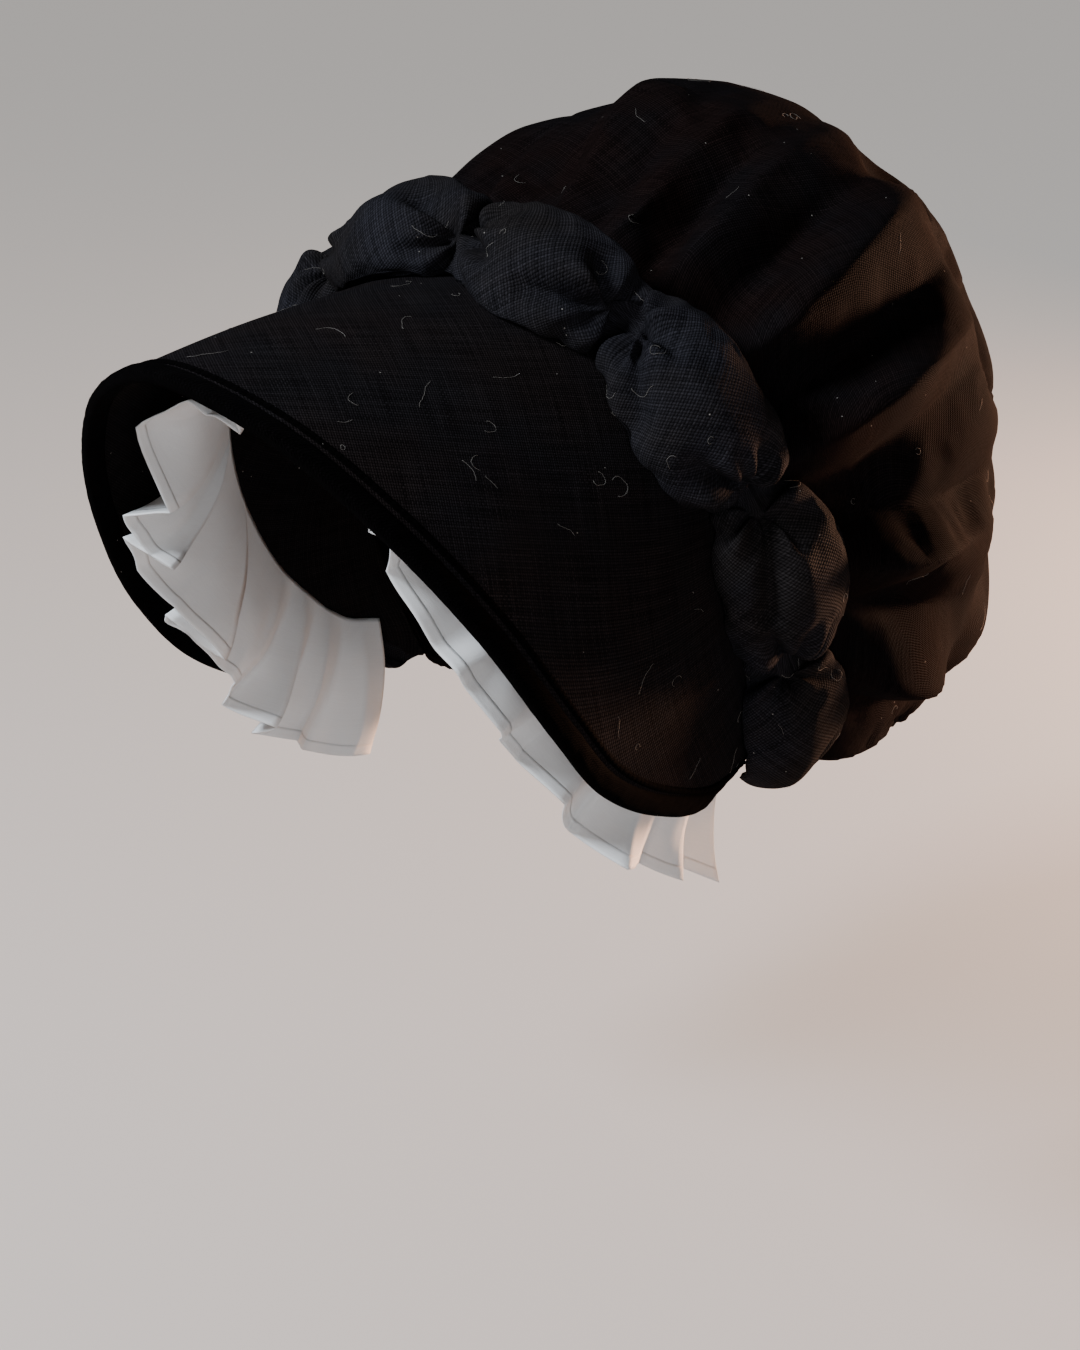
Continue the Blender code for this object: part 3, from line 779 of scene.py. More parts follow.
def band_section(along, fullness, slip):
    """One loop round the puff band: a cushion section that slopes back on to the crown."""
    tie, puff = np.array(BAND_TIE, float), np.array(BAND_PUFF, float)
    band = dict(zip(BAND_COLUMNS, tie + (puff - tie) * fullness))
    slope = math.radians(band["slope"])
    turn = np.linspace(0, 2 * math.pi, PUFF_SIDES, endpoint=False)
    wide = -band["half_width"] * np.cos(turn)
    pinch = 1 - FIN_PINCH * fullness * ramp(wide / band["half_width"], 0.2, 1.0)
    high = np.where(np.sin(turn) > 0, band["rise"] * pinch, band["under"]) * np.sin(turn)
    out = (band["outward"] + wide * math.sin(slope) + high * math.cos(slope)) * MM
    behind = band["back"] - slip * fullness
    behind = (behind + wide * math.cos(slope) - high * math.sin(slope)) * MM
    out = np.where(behind < 0, np.maximum(out, brim_height(along, behind) + PUFF_CLEARANCE), out)
    return seam_point(np.full(PUFF_SIDES, along), out, behind)


def puff_places():
    """Every section of the band: its share along the seam, its fullness and its slip."""
    places = [(-1.0, 0.0, 0.0)]
    start = -1.0
    for puff in named_rows(PUFFS, PUFF_COLUMNS):
        end = puff["ends_at"]
        for station in range(1, PUFF_STATIONS + 1):
            way = 0.5 - 0.5 * math.cos(math.pi * station / PUFF_STATIONS)
            fullness = puff["size"] * abs(math.sin(math.pi * way)) ** PUFF_SWELL
            places.append((start + (end - start) * way, fullness, puff["slip"]))
        start = end
    return places


band_places = puff_places()
band_grid = np.array([band_section(HALF_SEAM * share, full, slip) for share, full, slip in band_places])
print("puff band:", len(PUFFS), "puffs,", len(band_grid), "sections")

# %% [markdown]
# Each tie is a stitch through the middle of the strip, pulled tight against the seam. It leaves a
# dimple, with short puckers all round it and a few long valleys that run out into the puffs beside it.
# A table gives the long valleys, each by the tie that it starts from and by where it ends, in
# millimetres along the seam and across it, and a wave round the stitch gives the puckers. Relief like
# this could be painted as bump, but light that grazes black cloth needs real folds.

# %% Puckers round the ties
VALLEY_COLUMNS = ("tie", "ends_along", "ends_across", "half_width", "depth")
VALLEYS = (
    (-0.51, -17, -6, 3.6, 5.5),
    (-0.51, 17, 8, 3.6, 5.5),
    (-0.26, -18, -8, 3.8, 6.5),
    (-0.26, 18, 8, 3.8, 6.5),
    (0.01, -22, 12, 4.4, 8.5),
    (0.01, -15, -9, 3.2, 6.5),
    (0.01, 16, -5, 3.4, 7.0),
    (0.01, 12, 11, 3.0, 5.5),
    (0.26, -23, -8, 4.6, 9.5),
    (0.26, -13, 15, 3.2, 7.0),
    (0.26, 25, -17, 4.6, 9.0),
    (0.26, 16, 6, 3.4, 7.5),
    (0.53, -17, -8, 4.4, 9.5),
    (0.53, -12, 12, 3.0, 6.5),
    (0.53, 32, -7, 4.0, 9.0),
    (0.53, 14, 8, 3.0, 7.0),
    (0.78, -16, -8, 3.4, 7.0),
    (0.78, 16, -6, 3.2, 7.0),
    (0.78, 12, 8, 2.8, 5.5),
)
DIMPLE_DEPTH, DIMPLE_REACH = 5.5 * MM, 6.0 * MM
PUCKER_HEIGHT, PUCKER_PEAK, PUCKER_END = 3.2 * MM, 7 * MM, 24 * MM
PUCKERS = 9  # rays round one tie
PUCKER_SWAY = 1.3  # how unevenly they stand


def loop_normals(grid):
    """The way off the surface at each point of a grid whose rows are closed loops."""
    looped = np.concatenate([grid[:, -1:], grid, grid[:, :1]], axis=1)
    across = np.gradient(looped, axis=1)[:, 1:-1]
    return unit(np.cross(np.gradient(grid, axis=0), across))


def valley_depth(along, across, tie):
    """How deep the long valleys of one tie are at places round it, in metres."""
    deep = np.zeros_like(along)
    for valley in named_rows(VALLEYS, VALLEY_COLUMNS):
        if valley["tie"] != tie:
            continue
        end = np.array((valley["ends_along"], valley["ends_across"])) * MM
        way = np.clip((along * end[0] + across * end[1]) / (end @ end), 0, 1)
        away = np.hypot(along - way * end[0], across - way * end[1])
        fade = ramp(way, 0.0, 0.35) * (1 - 0.35 * way)
        deep += valley["depth"] * MM * fade * np.exp(-((away / (valley["half_width"] * MM)) ** 2))
    return deep


def tie_relief(along, across):
    """How far the cloth stands off the plain puffs because of the ties, at places on the band."""
    relief = np.zeros_like(along)
    chance = np.random.default_rng(7)
    for tie in column(PUFFS, PUFF_COLUMNS, "ends_at")[:-1]:
        beside = along - tie * HALF_SEAM
        reach, turn = np.hypot(beside, across), np.arctan2(across, beside)
        first, second = chance.uniform(0, 2 * math.pi, 2)
        rays = np.cos(PUCKERS * turn + first + PUCKER_SWAY * np.sin(2 * turn + second))
        rays *= reach / PUCKER_PEAK * np.exp(1 - reach / PUCKER_PEAK)
        rays *= 1 - ramp(reach, 0.5 * PUCKER_END, PUCKER_END)
        relief += PUCKER_HEIGHT * rays - DIMPLE_DEPTH * np.exp(-((reach / DIMPLE_REACH) ** 2))
        relief -= valley_depth(beside, across, tie)
    return relief


def puckered_band(grid):
    """The band with its puckers, on the side that shows."""
    turn = np.linspace(0, 2 * math.pi, grid.shape[1], endpoint=False)[None]
    share, full = (np.array(band_places)[:, [item]] for item in (0, 1))
    narrow, wide = column((BAND_TIE, BAND_PUFF), BAND_COLUMNS, "half_width")
    half = (narrow + (wide - narrow) * full) * MM
    relief = tie_relief(share * HALF_SEAM + 0 * turn, -half * np.cos(turn))
    shows = ramp(np.sin(turn), 0.0, 0.35)
    normals = loop_normals(grid)
    outwards = seam_point(share[:, 0] * HALF_SEAM, 1.0) - seam_point(share[:, 0] * HALF_SEAM)
    normals *= np.sign((normals[:, grid.shape[1] // 4] * outwards).sum(-1))[:, None, None]
    return grid + normals * (relief * shows)[..., None]


tied_grid = puckered_band(band_grid)
print("puckers: up to", round(np.linalg.norm(tied_grid - band_grid, axis=-1).max() / MM, 1), "mm deep")

# %% [markdown]
# No fold drawn from a table looks quite like cloth, so the last of the shape is left to a simulation.
# The cloth is made a little too big for its place, air blows it up, and it has to buckle, as gathered
# cotton does. Pins hold what is sewn. There is no gravity, and how far a point may move is capped, so
# that the piece keeps its place and size. Both the puffs and the crown use this one helper.

# %% A helper that lets cloth buckle
CLOTH_FRAMES = 16
COTTON_FEEL = (
    ("quality", 5),
    ("tension_stiffness", 15),
    ("compression_stiffness", 15),
    ("shear_stiffness", 5),
    ("air_damping", 3),
)


def buckle(piece, pins, growth, pressure, bending, cap):
    """Grows the cloth, lets it settle and keeps the result. pins are 1 where the cloth is held."""
    held = piece.vertex_groups.new(name="held")
    levels = np.round(np.ravel(pins), 2)
    for level in np.unique(levels[levels > 0]):
        held.add(np.nonzero(levels == level)[0].tolist(), float(level), "REPLACE")
    cloth = piece.modifiers.new("Cloth", "CLOTH")
    cloth.settings.vertex_group_mass = "held"
    for name, value in COTTON_FEEL:
        setattr(cloth.settings, name, value)
    cloth.settings.bending_stiffness = bending
    cloth.settings.shrink_min = cloth.settings.shrink_max = -growth
    cloth.settings.use_pressure = True
    cloth.settings.uniform_pressure_force = pressure
    cloth.settings.effector_weights.gravity = 0
    cloth.collision_settings.use_collision = False
    cloth.collision_settings.use_self_collision = False
    cloth.point_cache.frame_start, cloth.point_cache.frame_end = 1, CLOTH_FRAMES
    for moment in range(1, CLOTH_FRAMES + 1):
        bpy.context.scene.frame_set(moment)
    settled = piece.evaluated_get(bpy.context.evaluated_depsgraph_get()).to_mesh()
    before, after = (np.empty(3 * len(settled.vertices)) for _ in range(2))
    piece.data.vertices.foreach_get("co", before)
    settled.vertices.foreach_get("co", after)
    move = (after - before).reshape(-1, 3)
    far = np.linalg.norm(move, axis=1, keepdims=True)
    move *= cap * np.tanh(far / cap) / np.maximum(far, 1e-9)
    piece.modifiers.remove(cloth)
    piece.data.vertices.foreach_set("co", (before.reshape(-1, 3) + move).ravel())
    piece.data.update()
    print(piece.name, "buckled by", round(np.abs(move).max() / MM, 1), "mm at most")


# %% [markdown]
# The puffs are pinned at the ties and along the underside, which is sewn down and never seen. They are
# soft inside, with hardly any filling. The strip was as wide at the ties as anywhere before it was drawn
# together, so its flat pattern is a plain rectangle, and the threads crowd together towards each tie.
# One division of every face smooths them at the end.

# %% The puffs
PUFF_ROUND = 110 * MM  # the way round the strip before it was gathered


def make_puffs():
    turn = np.linspace(0, 2 * math.pi, PUFF_SIDES, endpoint=False)[None]
    station = np.arange(len(band_places))[:, None] % PUFF_STATIONS
    from_tie = np.minimum(station, PUFF_STATIONS - station)
    pins = np.maximum(ramp(-np.sin(turn), 0.15, 0.5), (from_tie < 1) * 1.0)
    steps = np.linalg.norm(np.diff(band_grid[:, PUFF_SIDES // 4], axis=0), axis=1)
    along = np.concatenate([[0], np.cumsum(steps)])
    across = np.linspace(0, PUFF_ROUND, PUFF_SIDES + 1)
    cut = np.stack(np.broadcast_arrays(across[None], along[:, None]), -1)
    cotton = [cottons["puff_cotton"]]
    piece = cloth_piece("puffs", tied_grid, cotton, cut, closed=True, caps=(0, -1), flip=True)
    buckle(piece, pins, growth=0.05, pressure=0.4, bending=0.5, cap=4 * MM)
    finer = piece.modifiers.new("Smooth", "SUBSURF")
    finer.levels = finer.render_levels = 1
    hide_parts("puff_band")
    finish_piece(piece)


make_puffs()

# %% [markdown]
# The crown is a big bag of the same cotton, open at the head and gathered into the seam. It stands up
# by its own stiffness and falls into long sharp folds that fan out from the band. Its ground shape is a
# ball whose radius changes from front to back and round the head. A second table lists the folds: where
# each crest starts and ends, in degrees round the bag from the top and in shares of the way to the back,
# how many millimetres it stands up, how many degrees its sides reach, and how uneven they are. A third
# lists the hollows between them.

# %% The crown's shape
CROWN_RADIUS = 122 * MM
CROWN_BACK = 72 * MM  # how far behind the seam the ball has its middle
CROWN_TUCK = 0.16  # share of the way over which the rim opens into the ball
NAPE_BACK = 50 * MM
NAPE_DROP = 102 * MM
BALL_COLUMNS = ("around", "front", "middle", "behind")
BALL_TILTS = (82, 108, 138)  # degrees from straight ahead
CROWN_BALL = (
    (0, 100, 122, 121),
    (20, 106, 118, 119),
    (45, 116, 120, 122),
    (69, 118, 116, 115),
    (89, 119, 117, 118),
    (110, 122, 121, 118),
    (132, 129, 136, 123),
    (150, 126, 130, 121),
    (180, 117, 121, 120),
)
CREST_COLUMNS = ("from_around", "from_way", "to_around", "to_way", "height", "half_span", "lean")
CRESTS = (
    (-163, 0.05, -160, 0.60, 4, 9, 0.0),
    (-146, 0.04, -152, 0.55, 9, 10, 0.2),
    (-128, 0.06, -144, 0.50, 13, 11, -0.2),
    (-109, 0.05, -124, 0.46, 17, 11, 0.3),
    (-89, 0.04, -100, 0.52, 16, 10, -0.1),
    (-70, 0.06, -66, 0.62, 18, 11, 0.2),
    (-51, 0.04, -46, 0.50, 15, 9, 0.0),
    (-34, 0.05, -36, 0.55, 11, 9, 0.2),
    (-17, 0.05, -24, 0.40, 8, 8, 0.0),
    (2, 0.05, -10, 0.55, 10, 9, 0.3),
    (18, 0.04, 14, 0.50, 11, 8, -0.2),
    (33, 0.05, 27, 0.48, 12, 8, 0.2),
    (51, 0.06, 44, 0.62, 18, 10, 0.3),
    (70, 0.04, 68, 0.56, 20, 9, -0.2),
    (88, 0.06, 108, 0.50, 20, 10, 0.3),
    (110, 0.08, 134, 0.42, 18, 11, -0.2),
    (129, 0.05, 150, 0.55, 13, 10, 0.2),
    (147, 0.05, 158, 0.50, 6, 9, 0.0),
    (164, 0.05, 170, 0.55, 4, 9, 0.0),
    (180, 0.05, 182, 0.50, 3, 9, 0.0),
)
DENT_COLUMNS = ("around", "way", "half_around", "half_way", "depth")
DENTS = (
    (60, 0.24, 5, 0.12, 5),
    (80, 0.20, 5, 0.10, 6),
    (98, 0.36, 6, 0.12, 9),
    (104, 0.20, 6, 0.08, 7),
    (128, 0.32, 6, 0.06, 8),
    (25, 0.22, 5, 0.10, 4),
    (40, 0.28, 4, 0.12, 4),
    (-60, 0.24, 5, 0.12, 5),
    (-80, 0.22, 5, 0.12, 6),
    (-99, 0.34, 6, 0.12, 8),
    (-119, 0.26, 6, 0.09, 7),
)
CREST_FADE = 0.88  # how much of its height a crest has lost at its far end
CREST_HOLLOW = 5.0 * MM  # how deep the cloth lies between the crests, near the band
CREST_MEAN = 2.0 * MM  # what the cloth behind the crests keeps of their height


def crown_rim(around):
    """The crown's open edge at an angle round it: along the seam, then across behind the nape."""
    side = np.where(around < 0, -1.0, 1.0)
    turn = np.abs(around)
    polar = np.degrees(np.arctan2(ARCH_PLACES[:, 0], ARCH_PLACES[:, 1]))
    end = polar[-1]
    across = np.interp(turn, polar, ARCH_PLACES[:, 0])
    up = np.interp(turn, polar, ARCH_PLACES[:, 1])
    round_nape = np.clip((turn - end) / (180 - end), 0, 1)
    across = across * np.cos(round_nape * math.pi / 2)
    up = up - (NAPE_DROP + ARCH_PLACES[-1, 1]) * np.sin(round_nape * math.pi / 2)
    return side * across, up, SEWN_GAP + NAPE_BACK * ramp(round_nape, 0, 1)


def ball_radius(around, tilt):
    """The radius of the unfolded bag in a direction, the same on both sides."""
    turns = column(CROWN_BALL, BALL_COLUMNS, "around")
    front, middle, behind = (
        np.interp(np.abs(around), turns, column(CROWN_BALL, BALL_COLUMNS, name)) * MM
        for name in ("front", "middle", "behind")
    )
    first, second, third = np.radians(BALL_TILTS)
    radius = front + (middle - front) * ramp(tilt, first, second)
    radius = radius + (behind - middle) * ramp(tilt, second, third)
    return radius + (CROWN_RADIUS - radius) * ramp(tilt, third, math.pi)


def crest_height(around, way):
    """How far the folds stand off the ball: crests with flat sides, and the higher one counts."""
    height = np.zeros_like(around)
    for crest in named_rows(CRESTS, CREST_COLUMNS):
        start, first = crest["from_way"], crest["from_around"]
        along = (way - start) / (crest["to_way"] - start)
        away = (around - first - (crest["to_around"] - first) * along + 180) % 360 - 180
        sides = np.where(away < 0, 1 - crest["lean"], 1 + crest["lean"]) * crest["half_span"]
        near = np.clip(1 - np.abs(away) / sides, 0, 1)
        shown = ramp(way, start - 0.04, start + 0.10) * (1 - CREST_FADE * ramp(along, 0.35, 1.0))
        shown = shown * (1 - ramp(along, 1.0, 1.6))
        height = np.maximum(height, crest["height"] * MM * near * shown)
    hollow = CREST_HOLLOW * ramp(way, 0.04, 0.16) * (1 - ramp(way, 0.30, 0.55))
    return height - hollow + CREST_MEAN * ramp(way, 0.30, 0.60)


def dent_depth(around, way):
    """How deep the hollows between the folds are."""
    deep = np.zeros_like(around)
    for dent in named_rows(DENTS, DENT_COLUMNS):
        beside = (around - dent["around"]) / dent["half_around"]
        behind = (way - dent["way"]) / dent["half_way"]
        deep += dent["depth"] * MM * np.exp(-(beside ** 2 + behind ** 2))
    return deep


def crown_surface(around, way):
    """The bag: from its rim the cloth opens into a ball, gathered into folds, and closes behind."""
    across, up, back = crown_rim(around)
    start = np.arccos(np.clip((CROWN_BACK - back) / CROWN_RADIUS, -1, 1))
    tilt = start + (math.pi - start) * way
    radius = ball_radius(around, tilt) + crest_height(around, way) - dent_depth(around, way)
    turn = np.radians(around)
    ball_back = CROWN_BACK - radius * np.cos(tilt)
    ball_across = radius * np.sin(tilt) * np.sin(turn)
    ball_up = radius * np.sin(tilt) * np.cos(turn)
    open_share = ramp(way, 0, CROWN_TUCK)
    across = across + (ball_across - across) * open_share
    up = up + (ball_up - up) * open_share
    back = back + (ball_back - back) * open_share
    return across[..., None] * ACROSS + up[..., None] * UP_SEAM + back[..., None] * BACK_SEAM


CROWN_COLUMNS, CROWN_ROWS = 336, 112
crown_around = np.linspace(-180, 180, CROWN_COLUMNS, endpoint=False)
crown_way = np.linspace(0, 0.997, CROWN_ROWS) ** 1.1
crown_grid = crown_surface(*np.broadcast_arrays(crown_around[None], crown_way[:, None]))
crown_size = crown_grid.reshape(-1, 3).max(0) - crown_grid.reshape(-1, 3).min(0)
print("crown:", [round(s / MM) for s in crown_size], "mm")

# %% [markdown]
# As a piece, the crown is a sheet held gathered. It was cut as a rectangle with rounded corners, a
# little longer than the way round the bag's fullest part, and gathered on to the seam. The buckling
# simulation gives its folds their creases and slack places. The rim and the closed back are pinned, and
# a weak hold keeps the rest near its place. The cloth gets its thickness last.

# %% The crown
CROWN_WALL = 0.9 * MM
WEAK_HOLD = 0.04


def make_crown():
    held = np.clip(1 - ramp(crown_way, 0.0, 0.06), WEAK_HOLD, 1) + ramp(crown_way, 0.92, 0.97)
    pins = np.clip(held, 0, 1)[:, None] + np.zeros_like(crown_around)[None]
    piece = cloth_piece("crown_bag", crown_grid, [cottons["crown_cotton"]], closed=True, caps=(-1,))
    buckle(piece, pins, growth=0.05, pressure=0.4, bending=1.5, cap=7 * MM)
    add_wall(piece, CROWN_WALL, even=False)
    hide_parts("crown")
    finish_piece(piece)


make_crown()

# %% [markdown]
# The frill is a long strip of starched lawn, pleated into the brim. Its pleats were pressed, so they are
# flat facets that meet in sharp corners, and some lap over their neighbours. A wave would look like
# bunting, so the hem is a zigzag with its corners in a table: how far round the brim a corner lies, and
# how far it stands in towards the face. Over the brow, and towards the end on the wearer's right, a
# loop fills in even pleats. At the root the same corners stand in order, and straight lines join the
# two.

# %% The frill's shape
FRILL_COLUMNS = ("edge_share", "brim_depth", "across", "ahead", "up")  # two shares, then mm
FRILL_STATIONS = (
    (0.00, 0.50, 0, 132, 66),
    (0.15, 0.50, 32, 133, 57),
    (0.28, 0.50, 51, 134, 42),
    (0.40, 0.50, 66, 129, 17),
    (0.52, 0.50, 76, 116, -14),
    (0.64, 0.50, 79, 94, -44),
    (0.70, 0.50, 80, 82, -57),
    (0.76, 0.49, 80, 66, -79),
    (0.82, 0.48, 83, 48, -90),
    (0.86, 0.44, 81, 28, -101),
    (0.90, 0.30, 77, 12, -104),
)
CORNER_COLUMNS = ("share", "inwards")  # of the way round the brim, and mm
RIGHT_CORNERS = (
    (-0.671, 6), (-0.617, 4.5), (-0.580, 2), (-0.558, -1), (-0.644, 11), (-0.539, 8), (-0.484, -1.5),
    (-0.437, -4), (-0.465, 11), (-0.439, 1.5), (-0.401, -4.5), (-0.356, 12.5), (-0.246, -7.5),
    (-0.117, -7), (-0.098, -2),
)
LEFT_CORNERS = (
    (0.350, 10), (0.441, 9.5), (0.480, 3), (0.512, 0), (0.563, -4), (0.605, 5), (0.640, 7),
    (0.695, -5), (0.765, 12), (0.792, -9), (0.842, 5), (0.868, -7), (0.885, 3), (0.900, -13),
)
FRILL_REACH = 0.90
EVEN_PLEAT, EVEN_DEPTH = 0.030, 7.0  # share of the way round the brim, and mm
FRILL_STEP = 0.01  # share of the way to either side, over which the hem's direction is taken
FRILL_BOW = 6.0 * MM
FRILL_RUFFLE = 2.0 * MM  # how far the hem strays from its straight facets
FRILL_WALL = 0.35 * MM
FRILL_GAP = 1.2 * MM  # under the brim's lining
COLUMNS_PER_FACET, FRILL_ROWS = 7, 30


def even_pleats(start, end):
    """Corners of even pleats between two shares of the brim."""
    count = max(2, round((end - start) / EVEN_PLEAT))
    places = np.linspace(start, end, count + 1)[1:-1]
    return [(place, EVEN_DEPTH * (-1) ** number) for number, place in enumerate(places)]


def frill_corners():
    """Every corner of the hem, in the order in which the cloth runs."""
    corners = [(-FRILL_REACH, 0)] + even_pleats(-FRILL_REACH, RIGHT_CORNERS[0][0]) + list(RIGHT_CORNERS)
    corners += even_pleats(RIGHT_CORNERS[-1][0], LEFT_CORNERS[0][0]) + list(LEFT_CORNERS)
    return np.array(corners, float)


def frill_line(share, place):
    """Places of the frill's root, or of its hem, at shares of the way round the brim."""
    shares = column(FRILL_STATIONS, FRILL_COLUMNS, "edge_share")
    places = np.array(FRILL_STATIONS, float)[:, 1:]
    depth, across, ahead, up = np.moveaxis(spline(places, shares, np.abs(share)), -1, 0)
    if place == "root":
        return brim_surface(share, depth, BRIM_WALL + FRILL_GAP)
    return np.stack([np.sign(share) * across, -ahead, up], -1) * MM


def frill_grid(down):
    """The pleated strip: rows of places from the root, at 0, to the hem, at 1."""
    corners = frill_corners()
    shares, depths = (column(corners, CORNER_COLUMNS, name) for name in CORNER_COLUMNS)
    numbers = np.arange(len(corners))
    at = np.linspace(0, numbers[-1], numbers[-1] * COLUMNS_PER_FACET + 1)
    share, in_order = np.interp(at, numbers, shares), np.interp(at, numbers, np.sort(shares))
    inwards = np.interp(at, numbers, depths) * MM
    root, hem = frill_line(in_order, "root"), frill_line(share, "hem")
    ahead = frill_line(np.clip(share + FRILL_STEP, -FRILL_REACH, FRILL_REACH), "hem")
    behind = frill_line(np.clip(share - FRILL_STEP, -FRILL_REACH, FRILL_REACH), "hem")
    off = unit(np.cross(unit(ahead - behind), unit(hem - frill_line(share, "root"))))
    hem = hem + off * inwards[:, None]
    bow = seam_point(in_order * HALF_SEAM) - seam_point(in_order * HALF_SEAM, 1.0)
    down = np.asarray(down)[:, None, None]
    ruffle = FRILL_RUFFLE * ripples(31, at[None, :, None] * 0.30, down * 0.8, fastest=3) * down ** 1.5
    return root + (hem - root) * down + bow * FRILL_BOW * np.sin(math.pi * down) + off * ruffle


frill_rows = frill_grid(np.linspace(0, 1, FRILL_ROWS))
hem_length = np.linalg.norm(np.diff(frill_rows[-1], axis=0), axis=1).sum()
print("frill:", len(frill_corners()) - 1, "facets, hem", round(hem_length / MM), "mm long")

# %% [markdown]
# The frill's cloth is so thin that its wall is a third of a millimetre. Its edge is turned twice and
# stitched, which makes a firmer, whiter strip along the hem. The strip is a piece of its own that
# wraps the last four millimetres.

# %% The frill and its hem
HEM_SHARE = 0.075  # of the frill's depth
HEM_END, HEM_ROWS = 1.004, 5  # it reaches just past the lawn's own edge
HEM_WALL = 0.52 * MM


def make_frill():
    frill = cloth_piece("frill_lawn", frill_rows, [lawn], flip=True)
    add_wall(frill, FRILL_WALL, 0.0, even=False)
    hem_grid = frill_grid(np.linspace(1 - HEM_SHARE, HEM_END, HEM_ROWS))
    hem = cloth_piece("frill_edge", hem_grid, [lawn], flip=True)
    add_wall(hem, HEM_WALL, 0.0, even=False)
    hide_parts("frill")
    finish_piece(frill)
    finish_piece(hem)


make_frill()

# %% [markdown]
# Small things finish it: the thread wound round each tie, the turned edge of the crown at the nape, and
# the pale lint that clings to any black cloth. Thread and lint are thin tubes. Hundreds of curves would
# be slow to handle, so one helper puts many tubes of the same number of places into one mesh.

# %% Helpers for many tubes
SKEW = (0.31, 0.17, 0.23)  # added so that a tube's side is never sought along its own run


def tube_round(route, half_wide, sides=3):
    """The grid of points of a thin tube along a route."""
    run = unit(np.gradient(route, axis=0))
    aside = unit(np.cross(run, run[:, [1, 2, 0]] + SKEW))
    across, up = loop_section(sides, 1.0)
    return sweep(route, aside, np.cross(run, aside), across[None] * half_wide, up[None] * half_wide)


def tubes_piece(name, grids, material):
    """Many tubes of the same number of places, as one piece with closed ends."""
    places, sides = grids[0].shape[:2]
    walls = grid_faces(places, sides, sides)[0].reshape(-1, 4).tolist()
    walls += [list(range(sides))[::-1], list(range((places - 1) * sides, places * sides))]
    faces = []
    for number in range(len(grids)):
        first = number * places * sides
        faces += [[first + corner for corner in face] for face in walls]
    finish_piece(new_piece(name, np.array(grids), faces, [material]))


# %% [markdown]
# Strong black thread is wound five times round each tie and pulls it in. Each winding follows the loop
# of cloth that the puffs have there, slanted a little, so it lies on the cloth wherever that goes.

# %% The threads of the ties
WINDINGS = (-1.6, -0.8, 0.0, 0.8, 1.6)  # mm to either side of the middle of a tie
WINDING_SINK = 0.12  # how much farther in a winding lies, for each mm to the side
THREAD_HALF_WIDE = 0.45 * MM
THREAD_SIDES = 6


def make_tie_threads():
    grids = []
    for number in range(1, len(PUFFS)):
        row = number * PUFF_STATIONS
        loop = np.concatenate([tied_grid[row], tied_grid[row, :2]])
        run = unit(tied_grid[row + 1].mean(0) - tied_grid[row - 1].mean(0))
        middle = tied_grid[row].mean(0)
        for winding in WINDINGS:
            slant = run * winding * MM * np.cos(np.linspace(0, 2 * math.pi, len(loop)))[:, None]
            drawn_in = unit(loop - middle) * -WINDING_SINK * abs(winding) * MM
            grids.append(tube_round(loop + slant + drawn_in, THREAD_HALF_WIDE, THREAD_SIDES))
    tubes_piece("tie_threads", grids, cottons["bias_cotton"])


make_tie_threads()

# %% [markdown]
# Behind the neck no brim holds the crown's edge, so the cloth is turned in there and stitched. The turn
# is a flat roll swept along the edge, drawn in a little unevenly where the stitches pull.

# %% The nape's hem
NAPE_HALF_WIDE, NAPE_HALF_HIGH = 3.6 * MM, 1.3 * MM
NAPE_INSET = 3.0 * MM  # from the crown's rim to the middle of the hem
NAPE_START = 2  # degrees round the bag from the seam's end to the hem's
NAPE_PLACES = 160
NAPE_PULL = 0.12  # share of the hem's size that the stitches take away


def make_nape_hem():
    start = math.degrees(math.atan2(*ARCH_PLACES[-1])) + NAPE_START
    around = np.linspace(start, 360 - start, NAPE_PLACES)
    around = np.where(around > 180, around - 360, around)
    rim = crown_surface(around, np.zeros(NAPE_PLACES))
    inwards = unit(crown_surface(around, np.full(NAPE_PLACES, 0.03)) - rim)
    run = unit(np.gradient(rim, axis=0))
    uneven = ripples(19, np.linspace(0, 9, NAPE_PLACES), 0, fastest=3)
    pull = 1 - NAPE_PULL * np.abs(uneven)[:, None]
    across, up = loop_section(14, 0.8)
    route, off = rim + inwards * NAPE_INSET, np.cross(run, inwards)
    grid = sweep(route, inwards, off, across * NAPE_HALF_WIDE * pull, up * NAPE_HALF_HIGH * pull)
    piece = cloth_piece("nape_hem", grid, [cottons["crown_cotton"]], closed=True, caps=(0, -1))
    finish_piece(piece)


make_nape_hem()

# %% [markdown]
# A hair of lint starts at a seeded place of the cloth and walks over it. It turns a little at each step
# and is put back on the nearest place of the cloth, so that it lies on every fold. How curly it is, and
# how long, is drawn by lot from named ranges, always the same ones.

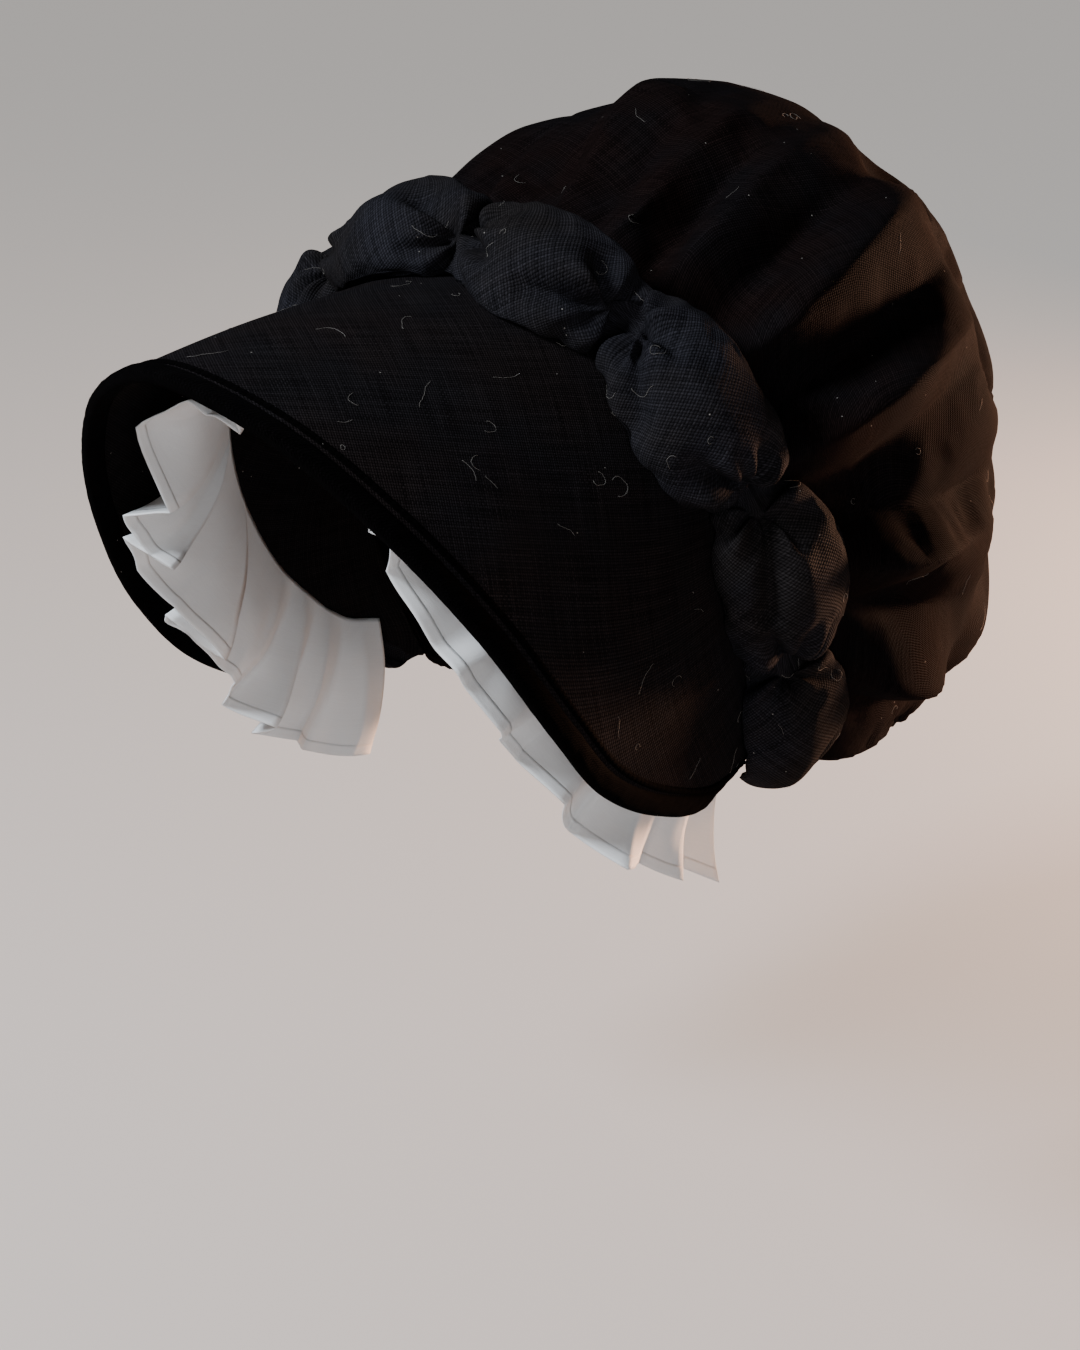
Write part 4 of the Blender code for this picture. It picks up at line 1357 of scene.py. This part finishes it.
# %% Lint
LINT_COUNTS = (("brim_cover", 70), ("puffs", 55), ("crown_bag", 90))
LINT_LENGTHS = (4 * MM, 15 * MM)
LINT_STEPS = 15
LINT_CURL, LINT_WANDER = 0.42, 0.22  # radians of turn at each step: the most for a hair, and by chance
LINT_LIFT, LINT_LOOSE = 0.15 * MM, 0.08 * MM  # how far off the cloth a hair lies, and more by chance
LINT_HALF_WIDE = 0.045 * MM
LINT_TONES = ((0.12, 0.105, 0.09, 1), (0.34, 0.31, 0.28, 1))
BONNET_MIDDLE = Vector((0, 0.03, 0))
FACES_OUT = 0.25  # a hair starts only where the cloth faces away from the bonnet's middle by this much


def lint_walk(cloth, place, normal, chance):
    """Places along one hair, from a start on the cloth."""
    curl = chance.uniform(-LINT_CURL, LINT_CURL)
    step = chance.uniform(*LINT_LENGTHS) / LINT_STEPS
    heading = normal.cross(Vector(chance.normal(size=3))).normalized()
    route = []
    for _ in range(LINT_STEPS):
        route.append(place + normal * (LINT_LIFT + abs(chance.normal()) * LINT_LOOSE))
        heading = heading + normal.cross(heading) * (curl + chance.normal() * LINT_WANDER)
        heading = (heading - normal * heading.dot(normal)).normalized()
        place, normal = cloth.find_nearest(place + heading * step)[:2]
    return np.array(route)


def make_lint():
    material, tree, shader = new_material("lint")
    dust = add_group(tree, dust_group)
    tree.links.new(add_mix(tree, dust["Patches"], *LINT_TONES), shader.inputs["Base Color"])
    shader.inputs["Roughness"].default_value = 0.8
    chance = np.random.default_rng(29)
    settled = bpy.context.evaluated_depsgraph_get()
    grids = []
    for name, count in LINT_COUNTS:
        piece = bpy.data.objects[name]
        cloth = BVHTree.FromObject(piece, settled)
        faces = piece.evaluated_get(settled).data.polygons
        found = 0
        while found < count:
            face = faces[int(chance.integers(len(faces)))]
            if face.normal.dot((face.center - BONNET_MIDDLE).normalized()) < FACES_OUT:
                continue
            route = lint_walk(cloth, face.center.copy(), face.normal.copy(), chance)
            grids.append(tube_round(route, LINT_HALF_WIDE))
            found += 1
    tubes_piece("lint", grids, material)


make_lint()
